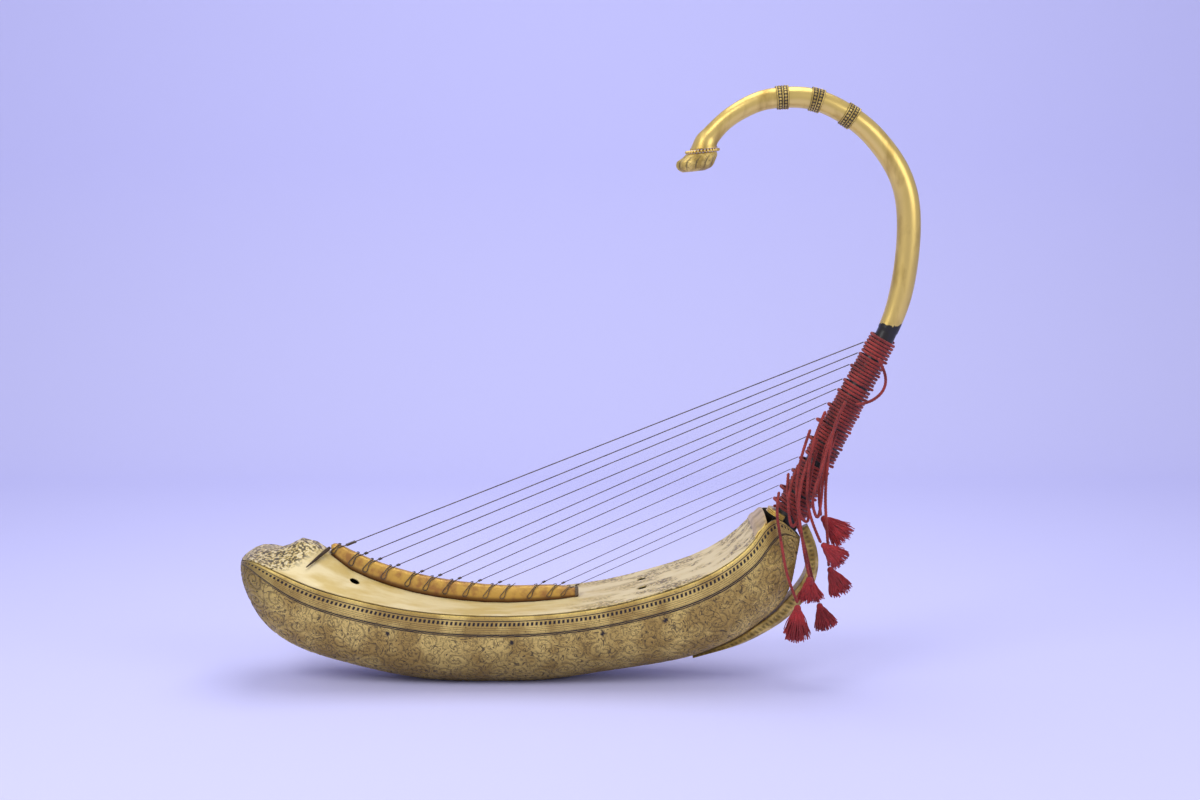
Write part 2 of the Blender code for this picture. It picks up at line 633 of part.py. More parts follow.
def string_end(number):
    """Point in front of the neck where a string meets its winding."""
    origin, down, front, _ = axis_frame()
    return origin + down * STRING_AXIAL[number - 1] + front * STRING_RADIAL[number - 1]


def build_string(number, material):
    """One string with its tie on the bar."""
    x = STRING_BAR_X[number - 1]
    radius = string_radius(number)
    points = tie_points(x, radius)
    points.append(tuple(string_end(number)))
    return tube(f"string_{number}", points, radius, material)


def build_spare_tie(material):
    """Tie left on the bar without a string."""
    radius = string_radius(SPARE_TIE_LIKE)
    return tube("spare_tie", tie_points(SPARE_TIE_X, radius), radius, material)


def winding_path(number):
    """Helix round the neck; its first turn is drawn out to the string, and both ends stand off the back."""
    origin, down, front, near = axis_frame()
    place = STRING_AXIAL[number - 1]
    if number < len(STRING_AXIAL):
        room = STRING_AXIAL[number] - place - CORD_DIAMETER - 2.0 * CLEARANCE
        turns = min(WINDING_MOST_TURNS, room / WINDING_PITCH)
    else:
        turns = LAST_WINDING_TURNS
    cord = 0.5 * CORD_DIAMETER
    half_step = math.pi / WINDING_LOOP_POINTS
    neck = AXIS_RADIUS_TOP + AXIS_RADIUS_GROWTH * (place + turns * WINDING_PITCH)
    ring = (neck + CLEARANCE + cord + 0.0004) / math.cos(half_step)
    lead_turns = FIRST_WINDING_LEAD if number == 1 else 0
    steps = round((turns + lead_turns) * WINDING_LOOP_POINTS)
    angle = -math.pi * (1 + 2 * lead_turns) + np.arange(steps + 1) * 2.0 * math.pi / WINDING_LOOP_POINTS
    drawn = max(0.0, STRING_RADIAL[number - 1] - ring - cord - 0.0008)
    radial = ring + drawn * np.exp(-(angle / 0.55) ** 2)
    axial = place + WINDING_PITCH * angle / (2.0 * math.pi)
    lead = np.array([[-TAIL_LEAD, TAIL_REACH], [-0.5 * TAIL_LEAD, 0.4 * TAIL_REACH]])
    angle = np.concatenate([angle[0] + lead[:, 0], angle, angle[-1] - lead[::-1, 0]])
    radial = np.concatenate([radial[0] + lead[:, 1], radial, radial[-1] + lead[::-1, 1]])
    axial = np.concatenate([[axial[0]] * 2, axial, [axial[-1]] * 2])
    return (origin + down * axial[:, None] + front * (radial * np.cos(angle))[:, None]
            + near * (radial * np.sin(angle))[:, None])


def least_gap(path):
    """Smallest gap between a winding's turns, measured between points more than half a turn apart."""
    apart = np.linalg.norm(path[:, None] - path[None, :], axis=2)
    index = np.arange(len(path))
    far = np.abs(index[:, None] - index[None, :]) > WINDING_LOOP_POINTS // 2
    return float(apart[far].min()) - CORD_DIAMETER


def build_winding(number, material):
    """Red cotton tuning winding of one string."""
    path = winding_path(number)
    print(f"winding_{number}: least gap to itself {least_gap(path) * 1000.0:.2f} mm")
    return tube(f"winding_{number}", path, 0.5 * CORD_DIAMETER, material)


def build_cord_loop(material):
    """Strand of tuning cord that runs from an upper winding to a lower one behind the neck."""
    origin, down, front, near = axis_frame()
    points = []
    for place, radius, angle in LOOP_ROUTE:
        turn = math.radians(angle)
        points.append(origin + down * place + radius * (front * math.cos(turn) + near * math.sin(turn)))
    return tube("cord_loop", spline(points, LOOP_POINTS), 0.5 * CORD_DIAMETER, material)


def build_loose_cord(number, material):
    """Loose end of a tuning cord, hanging from its winding to its tassel."""
    route = CORD_ROUTES[number - 1]
    rough = spline(route, 60)
    count = max(8, round(length_of(rough) / (2.6 * CORD_DIAMETER)))
    return tube(f"loose_cord_{number}", spline(route, count), 0.5 * CORD_DIAMETER, material, resolution=2)


def build_tassel(number, material):
    """Cotton tassel: a bound head and a skirt that fans out."""
    (run_x, run_z), length, spread, thickness = TASSELS[number - 1]
    end = np.array(CORD_ROUTES[number - 1][-1])
    axis = np.array([run_x, 0.0, run_z]) / math.hypot(run_x, run_z)
    top = end + axis * TASSEL_GAP
    wide = np.array([-axis[2], 0.0, axis[0]])
    turn = np.linspace(0.0, 2.0 * math.pi, TASSEL_SIDES, endpoint=False)
    rings = []
    for place, share in TASSEL_PROFILE:
        head = 1.0 - min(1.0, max(0.0, (place - 0.20) / 0.25))
        half_x = spread * share
        half_y = thickness * share * (1.0 - head) + half_x * head * 0.9
        folds = 1.0 + TASSEL_LOBE_DEPTH * (1.0 - head) * np.cos(TASSEL_LOBES * turn)
        bow = 0.12 * length * max(0.0, place - 0.3)
        down = place * length - bow * np.cos(turn) ** 2
        out = half_x * folds * np.cos(turn)
        ring = top + axis * down[:, None] + wide * out[:, None]
        ring[:, 1] += half_y * folds * np.sin(turn)
        rings.append(ring)
    return loft(f"tassel_{number}", rings, material)


def build_bar_peg(material):
    """Thin peg that pins the bar's tip, lying on the slope of the skin."""
    start, end = np.array(PEG_START), np.array(PEG_END)
    axis = (end - start) / np.linalg.norm(end - start)
    side = np.cross(axis, (0.0, 0.0, 1.0))
    side /= np.linalg.norm(side)
    up = np.cross(side, axis)
    turn = np.linspace(0.0, 2.0 * math.pi, PEG_SIDES, endpoint=False)
    rings = [[start + (end - start) * share + radius * (side * math.cos(a) + up * math.sin(a)) for a in turn]
             for share, radius in PEG_RADII]
    return loft("bar_peg", rings, material)


def main():
    """Build every piece of the harp."""
    clear_scene()
    old_gold = finish("old_gold", (0.36, 0.25, 0.08), 0.45, 0.8)
    bright_gold = finish("bright_gold", (0.62, 0.42, 0.12), 0.35, 0.9)
    hide = finish("gilt_hide", (0.78, 0.66, 0.38), 0.6, 0.1)
    bar_wood = finish("gilt_wood", (0.62, 0.38, 0.11), 0.5, 0.3)
    bare_wood = finish("bare_wood", (0.25, 0.15, 0.08), 0.8, 0.0)
    silk = finish("twisted_silk", (0.22, 0.19, 0.15), 0.7, 0.0)
    cotton = finish("red_cotton", (0.35, 0.04, 0.05), 0.9, 0.0)

    build_hull(old_gold)
    build_skin(hide)
    build_string_bar(bar_wood)
    build_tongue(bare_wood)
    build_neck(bright_gold)
    for number, centre in enumerate(BAND_CENTRES, start=1):
        build_band(number, centre, old_gold)
    build_finial(old_gold)
    build_bead_ring(bright_gold)
    build_strut(old_gold)
    build_collar(bright_gold)
    build_bar_lashing(silk)
    build_bar_peg(bar_wood)
    for number in range(1, len(STRING_BAR_X) + 1):
        build_string(number, silk)
        build_winding(number, cotton)
    build_spare_tie(silk)
    build_cord_loop(cotton)
    for number in range(1, len(CORD_ROUTES) + 1):
        build_loose_cord(number, cotton)
        build_tassel(number, cotton)


main()
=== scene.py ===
"""Arched harp: carved and gilt surfaces, stretched skin, strings and red cotton cords round the frame.

Everything is in metres in the frame's own place: X from the boat's bow to the neck, Y across, Z up.
"""

from __future__ import annotations

import logging
import math
from dataclasses import dataclass
from enum import Enum

import bmesh
import bpy
import numpy as np
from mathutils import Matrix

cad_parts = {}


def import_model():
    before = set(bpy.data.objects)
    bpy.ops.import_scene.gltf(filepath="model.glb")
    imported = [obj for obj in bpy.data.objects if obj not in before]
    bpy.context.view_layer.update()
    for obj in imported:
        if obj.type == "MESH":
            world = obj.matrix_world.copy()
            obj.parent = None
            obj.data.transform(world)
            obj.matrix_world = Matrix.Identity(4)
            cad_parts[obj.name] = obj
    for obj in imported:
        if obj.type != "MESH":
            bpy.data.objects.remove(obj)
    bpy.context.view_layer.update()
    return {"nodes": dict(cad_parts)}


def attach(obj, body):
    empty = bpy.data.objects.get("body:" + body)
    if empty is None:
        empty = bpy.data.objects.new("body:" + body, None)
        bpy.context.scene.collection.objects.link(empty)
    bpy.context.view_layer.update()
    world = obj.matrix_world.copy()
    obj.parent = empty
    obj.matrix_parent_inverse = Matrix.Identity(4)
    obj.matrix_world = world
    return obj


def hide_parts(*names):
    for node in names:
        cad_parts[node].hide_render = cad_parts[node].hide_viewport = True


LOG = logging.getLogger("harp")
ROOT = "body"
MM = 0.001
# Points of a curve before it is read at even lengths; stations of the frame's own rim, which the skin keeps.
DENSE = 1500
FRAME_STATIONS = 39
DOT_PITCH = 6.2 * MM
CORD_STEP = 1.1 * MM
CORD_SIDES = 12
FEWEST_RINGS = 8
TURN = 2.0 * math.pi
ACROSS = np.array([0.0, 1.0, 0.0])

Table = tuple[tuple[float, ...], ...]
Pair = tuple[float, float]
Vector = tuple[float, float, float]
Span = tuple[float, float, float, float]
Grid = tuple[int, int]
Array = np.ndarray
Socket = bpy.types.NodeSocket
Material = bpy.types.Material
Piece = bpy.types.Object


class Slot(Enum):
    """Finish slots of the record."""

    HULL = "hull_gilt"
    TRIM = "trim_gilt"
    NECK = "neck_gilt"
    HIDE = "hide"
    BAR = "bar_gilt"
    STRING = "strings"
    COTTON = "cotton"


class Lay(Enum):
    """Ways in which a cord is laid: its strands, their pitch in metres and their depth."""

    COTTON = (3, 0.013, 0.09)
    SILK = (2, 0.006, 0.10)


def linear(code: str) -> tuple[float, float, float, float]:
    """Turn an sRGB hex colour into linear red, green, blue and alpha.

    Args:
        code: six hex digits.

    Returns:
        The linear colour with alpha 1.
    """
    parts = np.array([int(code[i:i + 2], 16) for i in (0, 2, 4)]) / 255.0
    values = np.where(parts <= 0.04045, parts / 12.92, ((parts + 0.055) / 1.055) ** 2.4)
    return (float(values[0]), float(values[1]), float(values[2]), 1.0)


def spline(points: Table | Array, count: int) -> Array:
    """Read a natural cubic spline through the points at evenly spaced lengths.

    Args:
        points: places that the curve goes through.
        count: number of points to return.

    Returns:
        An array of count points.
    """
    knots = np.asarray(points, float)
    run = run_along(knots)
    step = np.diff(run)
    inner = np.arange(1, len(run) - 1)
    matrix = np.eye(len(run))
    matrix[inner, inner - 1] = step[:-1]
    matrix[inner, inner] = 2.0 * (step[:-1] + step[1:])
    matrix[inner, inner + 1] = step[1:]
    slope = np.diff(knots, axis=0) / step[:, None]
    right = np.zeros_like(knots)
    right[1:-1] = 6.0 * np.diff(slope, axis=0)
    bend = np.linalg.solve(matrix, right)
    at = np.linspace(0.0, run[-1], DENSE)
    k = np.clip(np.searchsorted(run, at) - 1, 0, len(step) - 1)
    h = step[k][:, None]
    a = (run[k + 1] - at)[:, None] / h
    b = 1.0 - a
    dense = (a * knots[k] + b * knots[k + 1]
             + ((a ** 3 - a) * bend[k] + (b ** 3 - b) * bend[k + 1]) * h ** 2 / 6.0)
    return resample(dense, np.linspace(0.0, 1.0, count))


def run_along(line: Array) -> Array:
    """Length from a line's start to each of its points."""
    return np.concatenate([[0.0], np.cumsum(np.linalg.norm(np.diff(line, axis=0), axis=1))])


def resample(dense: Array, fractions: Array) -> Array:
    """Read a dense line of points at fractions of its length."""
    run = run_along(dense)
    return np.stack([np.interp(np.asarray(fractions) * run[-1], run, column) for column in dense.T], axis=1)


def steady(table: Table | list, at: Array | float) -> Array:
    """Interpolate a table smoothly without overshoot: cubic pieces with harmonic mean slopes.

    Args:
        table: pairs of place and value.
        at: places to read.

    Returns:
        The values there.
    """
    knots, values = np.asarray(table, float).T
    step = np.diff(knots)
    rise = np.diff(values) / step
    slope = np.concatenate([[rise[0]], np.zeros(len(rise) - 1), [rise[-1]]])
    same = rise[:-1] * rise[1:] > 0.0
    slope[1:-1][same] = (2.0 * rise[:-1] * rise[1:])[same] / (rise[:-1] + rise[1:])[same]
    place = np.clip(np.asarray(at, float), knots[0], knots[-1])
    k = np.clip(np.searchsorted(knots, place, side="right") - 1, 0, len(step) - 1)
    t = (place - knots[k]) / step[k]
    return ((2 * t ** 3 - 3 * t ** 2 + 1) * values[k] + (t ** 3 - 2 * t ** 2 + t) * step[k] * slope[k]
            + (3 * t ** 2 - 2 * t ** 3) * values[k + 1] + (t ** 3 - t ** 2) * step[k] * slope[k + 1])


def ramp(value: Array, low: float, high: float) -> Array:
    """Smooth step from 0 at low to 1 at high."""
    t = np.clip((value - low) / (high - low), 0.0, 1.0)
    return t * t * (3.0 - 2.0 * t)


def bell(value: Array, centre: float, width: float) -> Array:
    """Bell curve of height 1 round a centre."""
    return np.exp(-((value - centre) / width) ** 2)


def crowded(count: int) -> Array:
    """Fractions from 0 to 1 that crowd towards both ends."""
    return 0.5 - 0.5 * np.cos(np.linspace(0.0, math.pi, count))


def unit(vector: Array) -> Array:
    """Vectors of length 1 along the last axis."""
    return vector / np.maximum(np.linalg.norm(vector, axis=-1, keepdims=True), 1e-12)


def circle(count: int) -> Array:
    """Angles of a full turn, its end left out."""
    return np.linspace(0.0, TURN, count, endpoint=False)


def surface(name: str, grid: Array, wrap: bool = False, capped: bool = False,
            recess: Array | None = None, keep: Array | None = None,
            marks: dict[str, Array] | None = None) -> Piece:
    """Make a mesh of the quads between neighbouring rows and columns of a grid of points.

    Args:
        name: object name.
        grid: points, rows by columns by three.
        wrap: whether the last column joins the first.
        capped: whether the first and the last row are closed with a face.
        recess: darkness from 0 to 1 for carved hollows, and for painted shade on the hull's inner wall, kept
            as an attribute.
        keep: which quads are kept, where not all are.
        marks: further attributes by name, one value for each point.

    Returns:
        The new object, at the origin.
    """
    rows, columns = grid.shape[:2]
    index = np.arange(rows * columns).reshape(rows, columns)
    right = np.roll(index, -1, axis=1)
    quads = np.stack([index[:-1], right[:-1], right[1:], index[1:]], axis=-1)
    if not wrap:
        quads = quads[:, :-1]
    if keep is not None:
        quads = quads[keep]
    faces = quads.reshape(-1, 4).tolist()
    if capped:
        faces += [index[0][::-1].tolist(), index[-1].tolist()]
    mesh = bpy.data.meshes.new(name)
    mesh.from_pydata(grid.reshape(-1, 3).tolist(), [], faces)
    fields = {"recess": np.zeros(rows * columns) if recess is None else recess, **(marks or {})}
    for label, field in fields.items():
        values = field.reshape(-1).astype(np.float32)
        mesh.attributes.new(label, "FLOAT", "POINT").data.foreach_set("value", values)
    clean = bmesh.new()
    clean.from_mesh(mesh)
    loose = [vert for vert in clean.verts if not vert.link_faces]
    bmesh.ops.delete(clean, geom=loose, context="VERTS")
    bmesh.ops.remove_doubles(clean, verts=clean.verts, dist=2e-6)
    bmesh.ops.recalc_face_normals(clean, faces=clean.faces)
    clean.to_mesh(mesh)
    clean.free()
    mesh.shade_smooth()
    item = bpy.data.objects.new(name, mesh)
    bpy.context.scene.collection.objects.link(item)
    return item


def sheet(name: str, grid: Array, thickness: float, keep: Array | None = None) -> Piece:
    """Make an open surface that faces up, thickened downwards.

    Args:
        name: object name.
        grid: points of its upper face.
        thickness: how thick it is.
        keep: which quads are kept, where not all are.

    Returns:
        The new object.
    """
    item = surface(name, grid, keep=keep)
    if sum(face.normal.z for face in item.data.polygons) < 0.0:
        item.data.flip_normals()
    wall = item.modifiers.new("thickness", "SOLIDIFY")
    wall.thickness = thickness
    wall.offset = -1.0
    return item


def merged(name: str, parts: list[Piece]) -> Piece:
    """Join several new meshes into one piece.

    Args:
        name: name of the joined piece.
        parts: pieces to join.

    Returns:
        The joined object.
    """
    with bpy.context.temp_override(active_object=parts[0], selected_editable_objects=parts):
        bpy.ops.object.join()
    parts[0].name = name
    parts[0].data.name = name
    return parts[0]


def settle(piece: Piece, material: Material, slot: Slot, body: str,
           *nodes: str) -> Piece:
    """Give a piece its finish and body, and let it stand for its nodes.

    Args:
        piece: the finished piece.
        material: its material.
        slot: the record's finish slot; not used.
        body: the body that it rides on.
        nodes: frame nodes that it stands for.

    Returns:
        The same piece.
    """
    piece.data.materials.clear()
    piece.data.materials.append(material)
    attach(piece, body)
    if nodes:
        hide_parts(*nodes)
    LOG.info("%s: %d faces on %s", piece.name, len(piece.data.polygons), body)
    return piece


def tube_grid(path: Array, radii: Array | float, sides: int, reference: Vector,
              lay: Lay | None = None) -> Array:
    """Carry a round profile along a path; the lay adds strands that wind round it.

    The ring at each point lies in the plane square to the path. With a lay, the radius is
    R times (0.95 + depth * cos(strands * (angle - 2 pi s / pitch))).

    Args:
        path: centre line points.
        radii: radius at each point.
        sides: points of each ring.
        reference: direction that is never along the path.
        lay: strands, pitch and depth.

    Returns:
        A grid of points, path points by sides.
    """
    tangent = unit(np.gradient(path, axis=0))
    first = unit(np.cross(tangent, np.asarray(reference, float)))
    second = np.cross(tangent, first)
    angle = circle(sides)
    radius = np.broadcast_to(np.broadcast_to(radii, len(path))[:, None], (len(path), sides))
    if lay is not None:
        strands, pitch, depth = lay.value
        phase = angle[None, :] - TURN * run_along(path)[:, None] / pitch
        radius = radius * (0.95 + depth * np.cos(strands * phase))
    return (path[:, None, :] + first[:, None, :] * (radius * np.cos(angle))[..., None]
            + second[:, None, :] * (radius * np.sin(angle))[..., None])


def tube(name: str, path: Array, radii: Array | float, sides: int,
         reference: Vector) -> Piece:
    """Make a plain round rod along a path, closed at both ends."""
    return surface(name, tube_grid(path, radii, sides, reference), wrap=True, capped=True)


def cord_piece(name: str, path: Array, radius: float, reference: Vector, lay: Lay = Lay.COTTON,
               step: float = CORD_STEP, sides: int = CORD_SIDES) -> Piece:
    """Make a laid cord along a dense path, with ends that round off.

    Args:
        name: object name.
        path: dense centre line.
        radius: cord radius.
        reference: direction that is never along the path.
        lay: how its strands are laid.
        step: distance between rings.
        sides: points of each ring.

    Returns:
        The cord.
    """
    line = resample(path, np.linspace(0.0, 1.0, max(FEWEST_RINGS, round(run_along(path)[-1] / step))))
    run = run_along(line)
    radii = radius * np.sqrt(np.clip(0.2 + np.minimum(run, run[-1] - run) / radius, 0.0, 1.0))
    return surface(name, tube_grid(line, radii, sides, reference, lay), wrap=True, capped=True)


def ball(name: str, centre: Array, radius: Vector, rings: int, sides: int) -> Piece:
    """Make a closed ellipsoid from angles of latitude and longitude.

    Args:
        name: object name.
        centre: its middle.
        radius: half sizes along X, Y and Z.
        rings: rows from pole to pole.
        sides: points round it.

    Returns:
        The ellipsoid.
    """
    pole = 1e-3
    tilt = np.linspace(pole, math.pi - pole, rings)[:, None]
    turn = circle(sides)[None, :]
    sphere = np.broadcast_arrays(np.sin(tilt) * np.cos(turn), np.sin(tilt) * np.sin(turn), np.cos(tilt))
    grid = np.asarray(centre) + np.stack(sphere, axis=-1) * np.asarray(radius)
    return surface(name, grid, wrap=True, capped=True)


def feed(tree: bpy.types.NodeTree, node: bpy.types.Node, inputs: dict | tuple) -> None:
    """Link a node's inputs to sockets or set their values; a hex code becomes a linear colour.

    Args:
        tree: the material's nodes.
        node: the node.
        inputs: value or source of each input, by name or place, or in order.
    """
    for key, value in inputs.items() if isinstance(inputs, dict) else enumerate(inputs):
        if isinstance(value, Socket):
            tree.links.new(value, node.inputs[key])
        else:
            node.inputs[key].default_value = linear(value) if isinstance(value, str) else value


def add(tree: bpy.types.NodeTree, kind: str, inputs: dict | tuple = (), out: int | str = 0,
        **settings) -> Socket:
    """Add one node with its settings and links.

    Args:
        tree: the material's nodes.
        kind: node type without its prefix.
        inputs: value or source of each input, by name or place, or in order.
        out: name or place of the output that is wanted.
        settings: properties of the node.

    Returns:
        The output.
    """
    made = tree.nodes.new("ShaderNode" + kind)
    for key, value in settings.items():
        setattr(made, key, value)
    feed(tree, made, inputs)
    return made.outputs[out]


def principled(name: str) -> tuple[Material, bpy.types.NodeTree, bpy.types.Node]:
    """Start a material.

    Args:
        name: its name.

    Returns:
        The material, its nodes and its shader.
    """
    material = bpy.data.materials.new(name)
    material.use_nodes = True
    return material, material.node_tree, material.node_tree.nodes["Principled BSDF"]


@dataclass(frozen=True)
class CarvedGilding:
    """Old gold leaf over dark lacquer on carved wood: rubbed gold on the heights, dark in the hollows, and
    painted shade towards the bottom and the bow.
    """

    name: str = "carved_gilding"
    gold: str = "B4954C"
    pale: str = "E0C36E"
    shade: str = "6A5528"
    lacquer: str = "1C130A"
    metallic: float = 0.5
    bare_metallic: float = 0.05
    roughness: Pair = (0.30, 0.60)
    patch: float = 42 * MM
    patch_span: Pair = (0.42, 0.60)
    grain: float = 2.2 * MM
    grain_span: Pair = (0.57, 0.70)
    darkest_shade_and_wear: float = 0.7
    scroll: float = 24 * MM
    scroll_warp: float = 2.4
    contours: float = 5.5
    contour_span: Pair = (0.11, 0.05)
    outline: float = 0.8
    # Painted shade: spans of z and of x over which the colour darkens towards the bottom and towards the bow.
    low: Pair = (0.070, 0.004)
    bow: Pair = (-0.285, -0.350)
    dot_span: Pair = (0.20, 0.27)
    dot_row: Pair = (0.40, 0.12)
    moulding_rate: float = 10.0
    moulding_span: Span = (0.16, 0.06, 0.0, 0.75)
    moulding_row: Pair = (0.74, 0.24)
    dark_rows: Table = ((0.985, 0.05), (1.08, 0.035), (0.22, 0.03))
    scroll_start: Pair = (1.10, 1.16)
    hollow_span: Pair = (0.15, 0.85)
    hollow_drop: float = -0.8
    relief: float = 0.5 * MM
    relief_share: float = 0.8

    def near(self, tree: bpy.types.NodeTree, value: Socket, centre: float, half: float) -> Socket:
        """Give 1 where a value is close to a centre, |value - centre| < 0.6 half, and 0 from half on.

        Args:
            tree: the material's nodes.
            value: the value.
            centre: middle of the row.
            half: half of the row's width.

        Returns:
            The share.
        """
        gap = add(tree, "Math", (value, centre), operation="SUBTRACT")
        size = add(tree, "Math", (gap,), operation="ABSOLUTE")
        return add(tree, "MapRange", (size, half, 0.6 * half))

    def band_marks(self, tree: bpy.types.NodeTree, band: Socket) -> Socket:
        """Darkness in the band under the rim: square dots, fine mouldings and three dark lines.

        Args:
            tree: the material's nodes.
            band: depth under the rim as a share of the band's.

        Returns:
            The darkness.
        """
        along = add(tree, "Attribute", out="Fac", attribute_name="along")
        pitches = add(tree, "Math", (along, 1.0 / DOT_PITCH), operation="MULTIPLY")
        beat = add(tree, "Math", (pitches, 0.5), operation="PINGPONG")
        across = add(tree, "MapRange", (beat, *self.dot_span))
        dots = add(tree, "Math", (across, self.near(tree, band, *self.dot_row)), operation="MULTIPLY")
        fine = add(tree, "Math", (band, self.moulding_rate), operation="MULTIPLY")
        beat = add(tree, "Math", (fine, 0.5), operation="PINGPONG")
        thin = add(tree, "MapRange", (beat, *self.moulding_span))
        lines = add(tree, "Math", (thin, self.near(tree, band, *self.moulding_row)), operation="MULTIPLY")
        marks = add(tree, "Math", (dots, lines), operation="MAXIMUM")
        for row in self.dark_rows:
            marks = add(tree, "Math", (marks, self.near(tree, band, *row)), operation="MAXIMUM")
        return marks

    def make(self) -> Material:
        """Build the material.

        The scroll outlines are contour lines of a warped noise: pingpong(noise * contours) near 0.

        Returns:
            The material.
        """
        material, tree, shader = principled(self.name)
        place = add(tree, "TexCoord", out="Object")
        broad = add(tree, "TexNoise", {"Vector": place, "Scale": 1 / self.patch, "Detail": 5.0})
        fine = add(tree, "TexNoise", {"Vector": place, "Scale": 1 / self.grain, "Detail": 3.0})
        mottle = add(tree, "MapRange", (broad, *self.patch_span))
        warm = add(tree, "Mix", {0: mottle, 6: self.gold, 7: self.pale}, 2, data_type="RGBA")
        x, _, z = add(tree, "SeparateXYZ", (place,)).node.outputs
        # Painted shade: darker towards the bottom (low z) and towards the bow (low x); the fine noise adds
        # real wear.
        low, bow, wear = (add(tree, "MapRange", (value, *ends, 0.0, self.darkest_shade_and_wear))
                          for value, ends in ((z, self.low), (x, self.bow), (fine, self.grain_span)))
        shade_and_wear = add(tree, "Math", (low, bow), operation="MAXIMUM")
        shade_and_wear = add(tree, "Math", (shade_and_wear, wear), operation="MAXIMUM")
        # The shade colour paints both the painted shade and the wear.
        worn = add(tree, "Mix", {0: shade_and_wear, 6: warm, 7: self.shade}, 2, data_type="RGBA")
        swirl = add(tree, "TexNoise", {"Vector": place, "Scale": 1 / self.scroll, "Detail": 1.0,
                                       "Distortion": self.scroll_warp})
        wound = add(tree, "Math", (swirl, self.contours), operation="MULTIPLY")
        ridge = add(tree, "Math", (wound, 0.5), operation="PINGPONG")
        outline = add(tree, "MapRange", (ridge, *self.contour_span, 0.0, self.outline))
        band = add(tree, "Attribute", out="Fac", attribute_name="band")
        below = add(tree, "MapRange", (band, *self.scroll_start))
        carved = add(tree, "Math", (outline, below), operation="MULTIPLY")
        marks = add(tree, "Math", (carved, self.band_marks(tree, band)), operation="MAXIMUM")
        # The recess attribute darkens carved hollows, and paints shade on the hull's inner wall.
        hollow_and_shade = add(tree, "Attribute", out="Fac", attribute_name="recess")
        sunk = add(tree, "MapRange", (hollow_and_shade, *self.hollow_span))
        deep = add(tree, "Math", (sunk, marks), operation="MAXIMUM")
        height = add(tree, "Math", (deep, self.hollow_drop, fine), operation="MULTIPLY_ADD")
        feed(tree, shader, {
            "Base Color": add(tree, "Mix", {0: deep, 6: worn, 7: self.lacquer}, 2, data_type="RGBA"),
            "Metallic": add(tree, "MapRange", (deep, 0.0, 1.0, self.metallic, self.bare_metallic)),
            "Roughness": add(tree, "MapRange", (fine, 0.0, 1.0, *self.roughness)),
            "Normal": add(tree, "Bump", {"Height": height, "Distance": self.relief,
                                         "Strength": self.relief_share})})
        return material


@dataclass(frozen=True)
class BurnishedGilding:
    """Burnished gold leaf, bright with rubbed spots, and bare black lacquer below a ragged edge."""

    name: str = "burnished_gilding"
    gold: str = "E6C873"
    rubbed: str = "A88840"
    lacquer: str = "17130F"
    metallic: float = 0.8
    roughness: Pair = (0.20, 0.50)
    patch: float = 22 * MM
    patch_scale: Vector = (1.0, 1.0, 0.35)
    patch_span: Span = (0.50, 0.72, 0.0, 0.85)
    edge_height: float = 0.513
    edge_depth: float = 5 * MM
    edge_blur: float = 0.6 * MM
    tear: float = 9 * MM
    relief: float = 0.4 * MM
    relief_share: float = 0.5

    def make(self) -> Material:
        """Build the material: gold where z + 4 * depth * noise is above the edge, black lacquer under it.

        Returns:
            The material.
        """
        material, tree, shader = principled(self.name)
        place = add(tree, "TexCoord", out="Object")
        stretched = add(tree, "Mapping", {"Vector": place, "Scale": self.patch_scale})
        broad = add(tree, "TexNoise", {"Vector": stretched, "Scale": 1 / self.patch, "Detail": 5.0})
        worn = add(tree, "MapRange", (broad, *self.patch_span))
        leaf = add(tree, "Mix", {0: worn, 6: self.gold, 7: self.rubbed}, 2, data_type="RGBA")
        height = add(tree, "SeparateXYZ", (place,), "Z")
        ragged = add(tree, "TexNoise", {"Vector": place, "Scale": 1 / self.tear, "Detail": 2.0})
        shift = add(tree, "Math", (ragged, 4.0 * self.edge_depth), operation="MULTIPLY")
        level = add(tree, "Math", (height, shift), operation="ADD")
        edge = self.edge_height + 2.0 * self.edge_depth
        gilt = add(tree, "MapRange", (level, edge - self.edge_blur, edge + self.edge_blur))
        feed(tree, shader, {
            "Base Color": add(tree, "Mix", {0: gilt, 6: self.lacquer, 7: leaf}, 2, data_type="RGBA"),
            "Metallic": add(tree, "MapRange", (gilt, 0.0, 1.0, 0.0, self.metallic)),
            "Roughness": add(tree, "MapRange", (broad, 0.0, 1.0, *self.roughness)),
            "Normal": add(tree, "Bump", {"Height": broad, "Distance": self.relief,
                                         "Strength": self.relief_share})})
        return material


